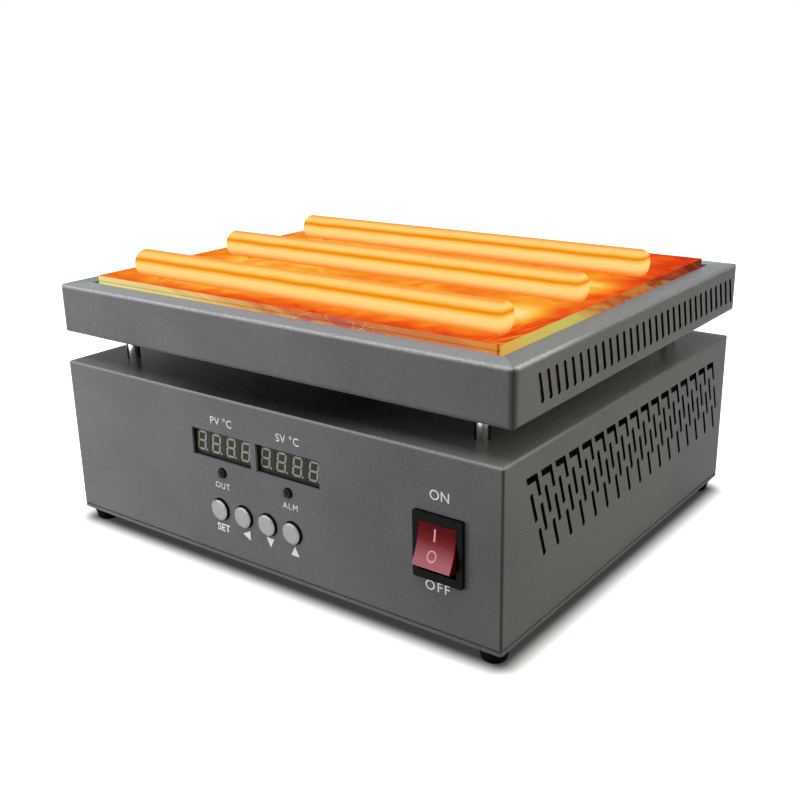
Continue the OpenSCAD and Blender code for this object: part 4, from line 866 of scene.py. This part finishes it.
@dataclass
class SubAssembly:
    """A sub-assembly: CAD nodes that get their finish, and pieces that scene.py adds to them."""

    body: str = "housing"

    def dress(self, finish: Finish, *nodes: str) -> None:
        """Gives CAD nodes a finish.

        Args:
            finish: The finish.
            nodes: The nodes' names.
        """
        for name in nodes:
            for material_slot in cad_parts[name].material_slots:
                material_slot.material = material_of(finish)
            LOG.info("%s is finished in %s", name, finish.title)

    def coat(self, node: str, **looks: object) -> None:
        """Powder-coats a folded sheet, with the coat's own looks.

        Args:
            node: The sheet's node.
            looks: The coat's fields that differ from the usual.
        """
        low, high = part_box(node)
        self.dress(PowderCoat(half_w=high.x, half_d=high.y, bottom=low.z, top=high.z, **looks),
                   node)

    def soften(self, width: float, *nodes: str) -> None:
        """Rounds the sharp edges of CAD nodes a little, so that they catch the light.

        Args:
            width: Width of the rounding.
            nodes: The nodes' names.
        """
        for name in nodes:
            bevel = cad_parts[name].modifiers.new("soft_edges", "BEVEL")
            bevel.width = width
            bevel.segments = 2
            bevel.limit_method = "ANGLE"
            bevel.angle_limit = math.radians(50)

    def fit(self, name: str, mesh: bpy.types.Mesh, finish: Finish,
            body: str | None = None) -> None:
        """Adds a piece to the model.

        Args:
            name: The piece's name.
            mesh: Its mesh, already in place.
            finish: Its finish.
            body: The body that carries it, if it isn't the sub-assembly's own.
        """
        mesh.materials.clear()
        mesh.materials.append(material_of(finish))
        piece = bpy.data.objects.new(name, mesh)
        bpy.context.scene.collection.objects.link(piece)
        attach(piece, body or self.body)
        LOG.info("%s is added in %s", name, finish.title)


def prisms(name: str, outlines: Iterable[Sequence[Point]], y_back: float,
           thickness: float) -> bpy.types.Mesh:
    """Builds thin upright plates that face the front, one for each outline.

    Args:
        name: The mesh's name.
        outlines: Corners in X and Z, anticlockwise seen from the front.
        y_back: Where the plates' backs lie.
        thickness: Their thickness.

    Returns:
        The mesh.
    """
    corners: list[Triple] = []
    faces: list[list[int]] = []
    for outline in outlines:
        start, count = len(corners), len(outline)
        corners += [(x, y_back - thickness, z) for x, z in outline]
        corners += [(x, y_back, z) for x, z in outline]
        faces.append(list(range(start, start + count)))
        faces.append(list(range(start + 2 * count - 1, start + count - 1, -1)))
        for i in range(count):
            j = (i + 1) % count
            faces.append([start + j, start + i, start + count + i, start + count + j])
    mesh = bpy.data.meshes.new(name)
    mesh.from_pydata(corners, [], faces)
    mesh.validate()
    return mesh


def circle(centre: Point, radius: float, parts: int = 20) -> list[Point]:
    """Returns evenly spaced points on a circle, anticlockwise from its right."""
    turns = [2 * math.pi * i / parts for i in range(parts)]
    return [(centre[0] + radius * math.cos(t), centre[1] + radius * math.sin(t)) for t in turns]


def ring_outlines(centre: Point, outer: float, inner: float, parts: int = 40) -> list[list[Point]]:
    """Cuts a flat ring into short pieces.

    Args:
        centre: The ring's middle.
        outer: Its outer radius.
        inner: Its inner radius.
        parts: How many pieces it is cut into.

    Returns:
        The outline of each piece.
    """
    near, far = circle(centre, inner, parts), circle(centre, outer, parts)
    return [[near[i - 1], far[i - 1], far[i], near[i]] for i in range(parts)]


@dataclass(frozen=True)
class Lettering:
    """A short generic marking, printed on the panel."""

    name: str
    text: str
    x: float
    z: float
    height: float
    # How far apart the letters stand, against the font's own spacing
    spacing: float
    # How much the strokes are thickened
    weight: float = 0.0

    def mesh(self, y_panel: float, thickness: float) -> bpy.types.Mesh:
        """Builds the letters on the panel's face.

        Args:
            y_panel: Where the face lies.
            thickness: Thickness of the ink.

        Returns:
            The mesh, in place.
        """
        curve = bpy.data.curves.new(self.name, "FONT")
        curve.body = self.text
        curve.offset = self.weight
        curve.space_character = self.spacing
        curve.resolution_u = 6
        letters = bpy.data.objects.new(self.name + "_letters", curve)
        bpy.context.scene.collection.objects.link(letters)
        bpy.context.view_layer.update()
        shaped = letters.evaluated_get(bpy.context.evaluated_depsgraph_get())
        flat = bpy.data.meshes.new_from_object(shaped)
        bpy.data.objects.remove(letters)
        spots = [vertex.co for vertex in flat.vertices]
        low = Vector((min(s.x for s in spots), min(s.y for s in spots)))
        high = Vector((max(s.x for s in spots), max(s.y for s in spots)))
        scale = self.height / (high.y - low.y)
        middle = (low + high) / 2
        for vertex in flat.vertices:
            spot = vertex.co
            vertex.co = (self.x + (spot.x - middle.x) * scale, y_panel - thickness,
                         self.z + (spot.y - middle.y) * scale)
        flat.name = self.name
        return flat


@dataclass
class Panel(SubAssembly):
    """The front panel's face, and the ink on it."""

    ink: float = 0.03 * MM

    @property
    def face(self) -> float:
        """Where the panel's face lies."""
        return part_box("base_cover")[0].y

    def print_marks(self, marks: Iterable[Lettering]) -> None:
        """Prints markings on the panel."""
        for mark in marks:
            self.fit(mark.name, mark.mesh(self.face, self.ink), PANEL_INK)


@dataclass
class Housing(SubAssembly):
    """The base: folded cover, bottom plate, feet and posts."""

    # No cut comes nearer than this to an edge of the cover's sides
    margin: float = 4 * MM

    def build(self) -> None:
        """Gives the base its finishes."""
        half_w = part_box("base_cover")[1].x
        # The cover gets painted highlights on its upper folds, and painted shade at its upright
        # corners, on its cut walls and under the tray
        self.coat("base_cover", fold=1.5 * MM, corner=1.5 * MM, margin=self.margin,
                  scorch=(0.2 * half_w, 0.8 * half_w))
        self.dress(PowderCoat(), "bottom_plate")
        self.dress(FOOT_RUBBER, "feet")
        self.dress(POLISHED_STEEL, "posts", "lead_conduit")
        self.dress(ZINC_STEEL, "foot_screws", "cover_screws", "post_screws_lower",
                   "post_screws_upper", "conduit_nuts")


@dataclass
class Tray(SubAssembly):
    """The slotted tray with its floor and insulation."""

    # No slot comes nearer than this to an edge of the tray's sides
    margin: float = 3.5 * MM

    def build(self) -> None:
        """Gives the tray its finishes."""
        # The tray gets a brighter painted highlight on its upper folds, painted shade at its
        # upright corners and on its cut walls, and painted light on its level top
        self.coat("tray_shell", fold=2.4 * MM, corner=4 * MM, margin=self.margin, worn="#dfdfe1",
                  level=("#98a1a9", "#80878b"))
        self.dress(ZINC_STEEL, "tray_floor", "tray_screws")
        self.dress(FIBRE_BOARD, "insulation_board")


@dataclass
class HeatingSet(SubAssembly):
    """The heating plate, its three tubes and what holds and joins them."""

    tubes: tuple[str, ...] = ("heating_tube_front", "heating_tube_middle", "heating_tube_rear")

    def build(self) -> None:
        """Works out where the tubes lie and gives the plate and the tubes their glow."""
        boxes = [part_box(name) for name in self.tubes]
        lanes = [(low.y + high.y) / 2 for low, high in boxes]
        low, high = boxes[1]
        radius = (high.y - low.y) / 2
        pitch = lanes[1] - lanes[0]
        self.dress(GlowingTube(height=high.z - radius, radius=radius), *self.tubes)
        plate_low, plate_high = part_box("heating_plate")
        self.dress(HotPlate(middle=lanes[1], pitch=pitch, half_w=plate_high.x, top=plate_high.z,
                            half_d=(plate_high.y - plate_low.y) / 2, tube_end=high.x,
                            tube_start=low.x), "heating_plate")
        self.dress(HOT_STEATITE, "tube_bushes")
        self.dress(FIRED_CERAMIC, "plate_supports")
        self.dress(ZINC_STEEL, "terminal_links", "terminal_nuts", "plate_screws",
                   "temperature_probe", "cutout_screws")
        self.dress(BLACK_ABS, "thermal_cutout")


@dataclass(frozen=True)
class SegmentDigit:
    """One unlit digit of a display: seven bars and a decimal point, leaning to the right."""

    height: float = 10.2 * MM
    width: float = 5.9 * MM
    # Width of a bar, and the gap at each of its ends
    bar: float = 1.05 * MM
    gap: float = 0.12 * MM
    # How far the digit leans to the right for each unit up
    lean: float = math.tan(math.radians(8))
    # The point's diameter, and where it lies past the right bars
    point_d: float = 1.15 * MM
    point_out: float = 1.25 * MM

    def bar_outline(self, start: Point, end: Point) -> list[Point]:
        """Draws a level or upright bar with pointed ends.

        Args:
            start: Its left or lower end, before the gap is taken off.
            end: Its right or upper end.

        Returns:
            Its outline.
        """
        length = math.dist(start, end)
        along_x, along_z = ((b - a) / length for a, b in zip(start, end))
        half, near, far = self.bar / 2, self.gap, length - self.gap
        return [(start[0] + a * along_x - b * along_z, start[1] + a * along_z + b * along_x)
                for a, b in ((near, 0), (near + half, -half), (far - half, -half), (far, 0),
                             (far - half, half), (near + half, half))]

    def outlines(self, centre: Point) -> list[list[Point]]:
        """Draws the digit.

        Args:
            centre: The digit's middle on the display.

        Returns:
            The outline of each bar and of the point.
        """
        side = (self.width - self.bar) / 2
        rise = (self.height - self.bar) / 2
        bars = [self.bar_outline((-side, z), (side, z)) for z in (-rise, 0, rise)]
        for x in (-side, side):
            bars += [self.bar_outline((x, -rise), (x, 0)), self.bar_outline((x, 0), (x, rise))]
        bars.append(circle((side + self.point_out, -rise), self.point_d / 2))
        return [[(centre[0] + x + z * self.lean, centre[1] + z) for x, z in bar] for bar in bars]


@dataclass
class DisplayPanel(Panel):
    """The two displays behind their windows, the lamps below and the board that carries them."""

    digit: SegmentDigit = SegmentDigit()
    digits: int = 4
    digit_pitch: float = 10 * MM
    # How deep the digits' backs lie in the display, and how thick they are
    well_depth: float = 0.1 * MM
    segment_t: float = 0.04 * MM
    marks: tuple[Lettering, ...] = (
        Lettering("mark_actual_value", "PV °C", -21.8 * MM, 80.2 * MM, 4.1 * MM, 1.1, 0.002),
        Lettering("mark_set_value", "SV °C", 21.2 * MM, 80.2 * MM, 4.1 * MM, 1.1, 0.002),
        Lettering("mark_output", "OUT", -23.6 * MM, 46.6 * MM, 3.1 * MM, 1.15),
        Lettering("mark_alarm", "ALM", 20.9 * MM, 46.8 * MM, 3.1 * MM, 1.2))

    def build(self) -> None:
        """Lays the digits in their wells, prints the markings and gives the finishes."""
        self.dress(DISPLAY_FACE, "display_actual", "display_set")
        for node in ("display_actual", "display_set"):
            low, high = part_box(node)
            middle = (low + high) / 2
            outlines = []
            for index in range(self.digits):
                x = middle.x + (index - (self.digits - 1) / 2) * self.digit_pitch
                outlines += self.digit.outlines((x - self.digit.point_out / 2, middle.z))
            name = node.replace("display", "digits")
            digits = prisms(name, outlines, low.y + self.well_depth, self.segment_t)
            self.fit(name, digits, SEGMENT_RESIN)
        self.print_marks(self.marks)
        self.dress(GREEN_LENS, "lamp_heat")
        self.dress(RED_LENS, "lamp_alarm")
        self.dress(CircuitBoard(), "display_board")
        self.dress(ZINC_STEEL, "board_studs", "board_nuts")


class Way(Enum):
    """The way that a triangle on the panel points, in quarter turns from the right."""

    UP = 1
    LEFT = 2
    DOWN = 3


@dataclass
class Keypad(Panel):
    """The four round buttons, the switches behind them and the signs below them."""

    keys: tuple[str, ...] = ("button_set", "button_left", "button_down", "button_up")
    set_mark: Lettering = Lettering("mark_set", "SET", -25 * MM, 23.7 * MM, 4.1 * MM, 1.05, 0.025)
    # Width of a triangle, how long it is against that, and where it lies below its button
    arrow_size: float = 5.1 * MM
    arrow_length: float = 0.96
    arrow_drop: float = 9.4 * MM
    arrow_shift: float = 0.9 * MM
    arrows: dict[str, Way] = field(default_factory=lambda: {
        "button_left": Way.LEFT, "button_down": Way.DOWN, "button_up": Way.UP})

    def build(self) -> None:
        """Gives the buttons their finish and prints their signs."""
        for key in self.keys:
            self.dress(ButtonCap(), key)
        self.dress(BLACK_ABS, "key_switches")
        self.print_marks([self.set_mark])
        for key, way in self.arrows.items():
            name = key.replace("button", "mark")
            self.fit(name, prisms(name, [self.arrow(key, way)], self.face, self.ink), PANEL_INK)

    def arrow(self, key: str, way: Way) -> list[Point]:
        """Draws the triangle below a button.

        Args:
            key: The button's node.
            way: The way that the triangle points.

        Returns:
            Its three corners.
        """
        low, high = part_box(key)
        x, z = (low.x + high.x) / 2 + self.arrow_shift, (low.z + high.z) / 2 - self.arrow_drop
        turn = way.value * math.pi / 2
        half = self.arrow_size / 2
        reach = half * self.arrow_length
        cos, sin = math.cos(turn), math.sin(turn)
        return [(x + a * cos - b * sin, z + a * sin + b * cos)
                for a, b in ((reach, 0.0), (-reach, half), (-reach, -half))]


@dataclass
class MainsSwitch(Panel):
    """The rocker switch: its frame, the red rocker with its two signs, and the words beside it."""

    # The upper sign's stroke, in this many rows, so that it can follow the hollow face
    sign_height: float = 5.6 * MM
    sign_width: float = 0.9 * MM
    sign_rows: int = 6
    # The lower sign's ring
    ring_d: float = 4.8 * MM
    ring_line: float = 0.6 * MM
    # Where both lie from the rocker's middle: the stroke up, the ring down, and both aside
    sign_rise: float = 5.4 * MM
    sign_drop: float = 3.4 * MM
    sign_shift: float = -0.9 * MM
    sign_t: float = 0.04 * MM
    marks: tuple[Lettering, ...] = (
        Lettering("mark_on", "ON", 105.9 * MM, 73.2 * MM, 4.6 * MM, 1.05, 0.004),
        Lettering("mark_off", "OFF", 104.7 * MM, 30.6 * MM, 4.7 * MM, 1.2, 0.004))

    def build(self) -> None:
        """Gives the switch its finishes and draws the signs."""
        self.dress(GLOSS_NYLON, "switch_housing")
        self.dress(RockerPlastic(), "rocker")
        self.dress(TURNED_BRASS, "switch_terminals")
        self.soften(0.3 * MM, "switch_housing")
        self.soften(0.6 * MM, "rocker")
        self.print_marks(self.marks)
        low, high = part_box("rocker")
        x, z = (low.x + high.x) / 2 + self.sign_shift, (low.z + high.z) / 2
        half_w, half_h = self.sign_width / 2, self.sign_height / 2
        levels = [z + self.sign_rise + half_h * (2 * i / self.sign_rows - 1)
                  for i in range(self.sign_rows + 1)]
        stroke = [[(x - half_w, a), (x + half_w, a), (x + half_w, b), (x - half_w, b)]
                  for a, b in zip(levels, levels[1:])]
        outer = self.ring_d / 2
        ring = ring_outlines((x, z - self.sign_drop), outer, outer - self.ring_line)
        for name, outlines in (("sign_on", stroke), ("sign_off", ring)):
            mesh = prisms(name, outlines, 0, self.sign_t)
            self.lay_on_rocker(mesh)
            self.fit(name, mesh, SIGN_INK, "rocker")

    def lay_on_rocker(self, mesh: bpy.types.Mesh) -> None:
        """Lays a flat sign on the rocker's hollow face.

        Args:
            mesh: The sign, standing upright at Y = 0, with its thickness towards the front.
        """
        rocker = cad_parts["rocker"]
        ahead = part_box("rocker")[0].y - 10 * MM
        for vertex in mesh.vertices:
            start = Vector((vertex.co.x, ahead, vertex.co.z))
            hit, spot, _, _ = rocker.ray_cast(start, Vector((0, 1, 0)))
            if hit:
                vertex.co.y += spot.y


@dataclass
class MainsInlet(SubAssembly):
    """The mains inlet at the rear, with its fuse drawer and fuse."""

    # Share of the fuse's length that its two caps take
    cap_share: float = 0.28

    def build(self) -> None:
        """Gives the inlet its finishes."""
        self.dress(BLACK_ABS, "inlet_housing", "fuse_drawer")
        self.soften(0.35 * MM, "inlet_housing")
        self.soften(0.25 * MM, "fuse_drawer")
        self.dress(TURNED_BRASS, "inlet_pins")
        self.dress(ZINC_STEEL, "inlet_screws", "inlet_nuts")
        low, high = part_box("fuse")
        half = (high.x - low.x) / 2
        self.dress(FuseGlass(middle=low.x + half, glass_half=half * (1 - self.cap_share)), "fuse")


@dataclass
class PowerSection(SubAssembly):
    """What the base holds: the boards, the relay on its heat sink, the terminals and the leads."""

    def build(self) -> None:
        """Gives the inner pieces their finishes."""
        self.dress(BARE_ALUMINIUM, "heat_sink")
        self.dress(BLACK_ABS, "power_relay", "terminal_block")
        self.dress(CircuitBoard(), "control_board")
        self.dress(TURNED_BRASS, "board_spacers", "earth_stud")
        self.dress(ZINC_STEEL, "sink_screws", "spacer_screws")
        self.dress(PART_EPOXY, "board_parts")
        self.dress(WovenSleeve(), "heater_leads", "sensor_leads")
        self.dress(LEAD_PVC, "mains_leads")
        self.dress(RIBBON_PVC, "ribbon_cable")


@dataclass(frozen=True)
class Softbox:
    """A rectangular studio lamp that faces a point."""

    name: str
    place: Triple
    power: float
    width: float
    height: float
    shade: str = "#ffffff"
    aim: Triple = (0.0, 0.0, 0.07)

    def hang(self) -> None:
        """Hangs the lamp and turns it to the object."""
        light = bpy.data.lights.new(self.name, "AREA")
        light.shape = "RECTANGLE"
        light.size = self.width
        light.size_y = self.height
        light.energy = self.power
        light.color = linear(self.shade)[:3]
        lamp = bpy.data.objects.new(self.name, light)
        lamp.location = self.place
        lamp.visible_camera = False
        ahead = Vector(self.aim) - Vector(self.place)
        lamp.rotation_euler = ahead.to_track_quat("-Z", "Y").to_euler()
        bpy.context.scene.collection.objects.link(lamp)
        LOG.info("%s hangs at %s", self.name, self.place)


@dataclass
class Studio:
    """The camera at the photograph's angle, the pale floor, the lamps and the room's light."""

    # The camera's place, its turn in degrees, its focal length and its sensor's width in mm
    camera_place: Triple = (0.338752, -0.454096, 0.252327)
    camera_turn: Triple = (71.4231, 1.0054, 36.7242)
    lens: float = 48.0956
    sensor: float = 36.0
    # Strength of the room's light at the horizon and straight above
    room_low: float = 0.05
    room_high: float = 0.3
    floor_half: float = 5.0
    # The painted shadow begins this far under the base's edges, and over this width it turns to
    # plain white
    shade_under: Pair = (5.5 * MM, 7.5 * MM)
    shade_width: float = 19.5 * MM
    # How bright the painted shadow is at its darkest
    shade_core: float = 0.042
    # What the floor sends back to the object, and to the camera: a painted shadow tone near the
    # object, and white further out
    floor_bounce: str = "#707070"
    floor_painted_shadow: str = "#383838"
    floor_white: str = "#fafafa"
    lamps: tuple[Softbox, ...] = (
        Softbox("overhead_softbox", (0.0, -0.1, 1.5), 16.0, 1.6, 1.6),
        Softbox("left_softbox", (-0.2, -0.4, 0.08), 0.53, 0.3, 0.12, aim=(-0.08, -0.1, 0.06)),
        Softbox("right_softbox", (0.36, -0.12, 0.22), 0.24, 0.3, 0.3, "#fffbd0",
                (0.137, -0.08, 0.08)))

    def build(self) -> None:
        """Sets up the camera, the floor and the light."""
        self.place_camera()
        self.lay_floor()
        self.light_room()
        for lamp in self.lamps:
            lamp.hang()
        bpy.context.scene.view_settings.view_transform = "Standard"

    def place_camera(self) -> None:
        """Puts the camera where the photograph was taken from."""
        data = bpy.data.cameras.new("camera")
        data.lens = self.lens
        data.sensor_width = self.sensor
        camera = bpy.data.objects.new("camera", data)
        camera.location = self.camera_place
        camera.rotation_euler = Euler([math.radians(turn) for turn in self.camera_turn])
        bpy.context.scene.collection.objects.link(camera)
        bpy.context.scene.camera = camera

    def seen_white(self, net: Net) -> Node:
        """Returns a node that is 1 for what the camera sees, directly or in metal and glass."""
        rays = net.add("LightPath").outputs
        return net.chain("MAXIMUM", *(rays[f"Is {kind} Ray"]
                                      for kind in ("Glossy", "Transmission", "Camera")))

    def floor_material(self) -> bpy.types.Material:
        """Makes the floor's white, with a painted shadow close to the base over the object's own
        shadow.

        Returns:
            The material.
        """
        material = bpy.data.materials.new("matt_white_floor")
        net = Net.emptied(material)
        # Painted shadow near the base: the floor darkens towards it for the camera
        over = [net.math("MAXIMUM", net.math("SUBTRACT", net.size(part), edge - under), 0.0)
                for part, edge, under in zip(net.axes(net.place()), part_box("bottom_plate")[1],
                                             self.shade_under)]
        white = net.span(net.length(*over), end=self.shade_width, smooth=True)
        least = net.math("MAXIMUM", white, self.shade_core)
        glow = net.add("Emission", {"Strength": net.math("MULTIPLY", least, self.seen_white(net))})
        seen = net.mix(white, self.floor_painted_shadow, self.floor_white)
        bounced = net.add("LightPath").outputs["Is Diffuse Ray"]
        paper = net.add("BsdfDiffuse", {"Color": net.mix(bounced, seen, self.floor_bounce)})
        net.add("OutputMaterial", {"Surface": net.add("AddShader", {0: paper, 1: glow})})
        return material

    def lay_floor(self) -> None:
        """Lays the pale floor, which is plain white further out."""
        half = self.floor_half
        corners = [(-half, -half, 0), (half, -half, 0), (half, half, 0), (-half, half, 0)]
        mesh = bpy.data.meshes.new("floor")
        mesh.from_pydata(corners, [], [(0, 1, 2, 3)])
        mesh.materials.append(self.floor_material())
        floor = bpy.data.objects.new("floor", mesh)
        bpy.context.scene.collection.objects.link(floor)

    def light_room(self) -> None:
        """Gives the room a soft even light, and a white background where the camera sees it."""
        world = bpy.data.worlds.new("white_room")
        net = Net.emptied(world)
        sky = net.axes(net.add("TexCoord").outputs["Generated"])[2]
        rise = net.span(sky, low=self.room_low, high=self.room_high)
        dim, white = (net.add("Background", {"Color": "#ffffff", "Strength": strength})
                      for strength in (rise, 1.0))
        net.add("OutputWorld", {"Surface": net.add("MixShader", {0: self.seen_white(net), 1: dim,
                                                                 2: white})})
        bpy.context.scene.world = world


def main() -> None:
    """Builds the studio and each sub-assembly in turn."""
    logging.basicConfig(level=logging.INFO, format="%(message)s")
    Studio().build()
    for assembly in (Housing(), Tray(), HeatingSet(), DisplayPanel(), Keypad(), MainsSwitch(),
                     MainsInlet(), PowerSection()):
        LOG.info("building %s", type(assembly).__name__)
        assembly.build()


if __name__ == "__main__":
    main()
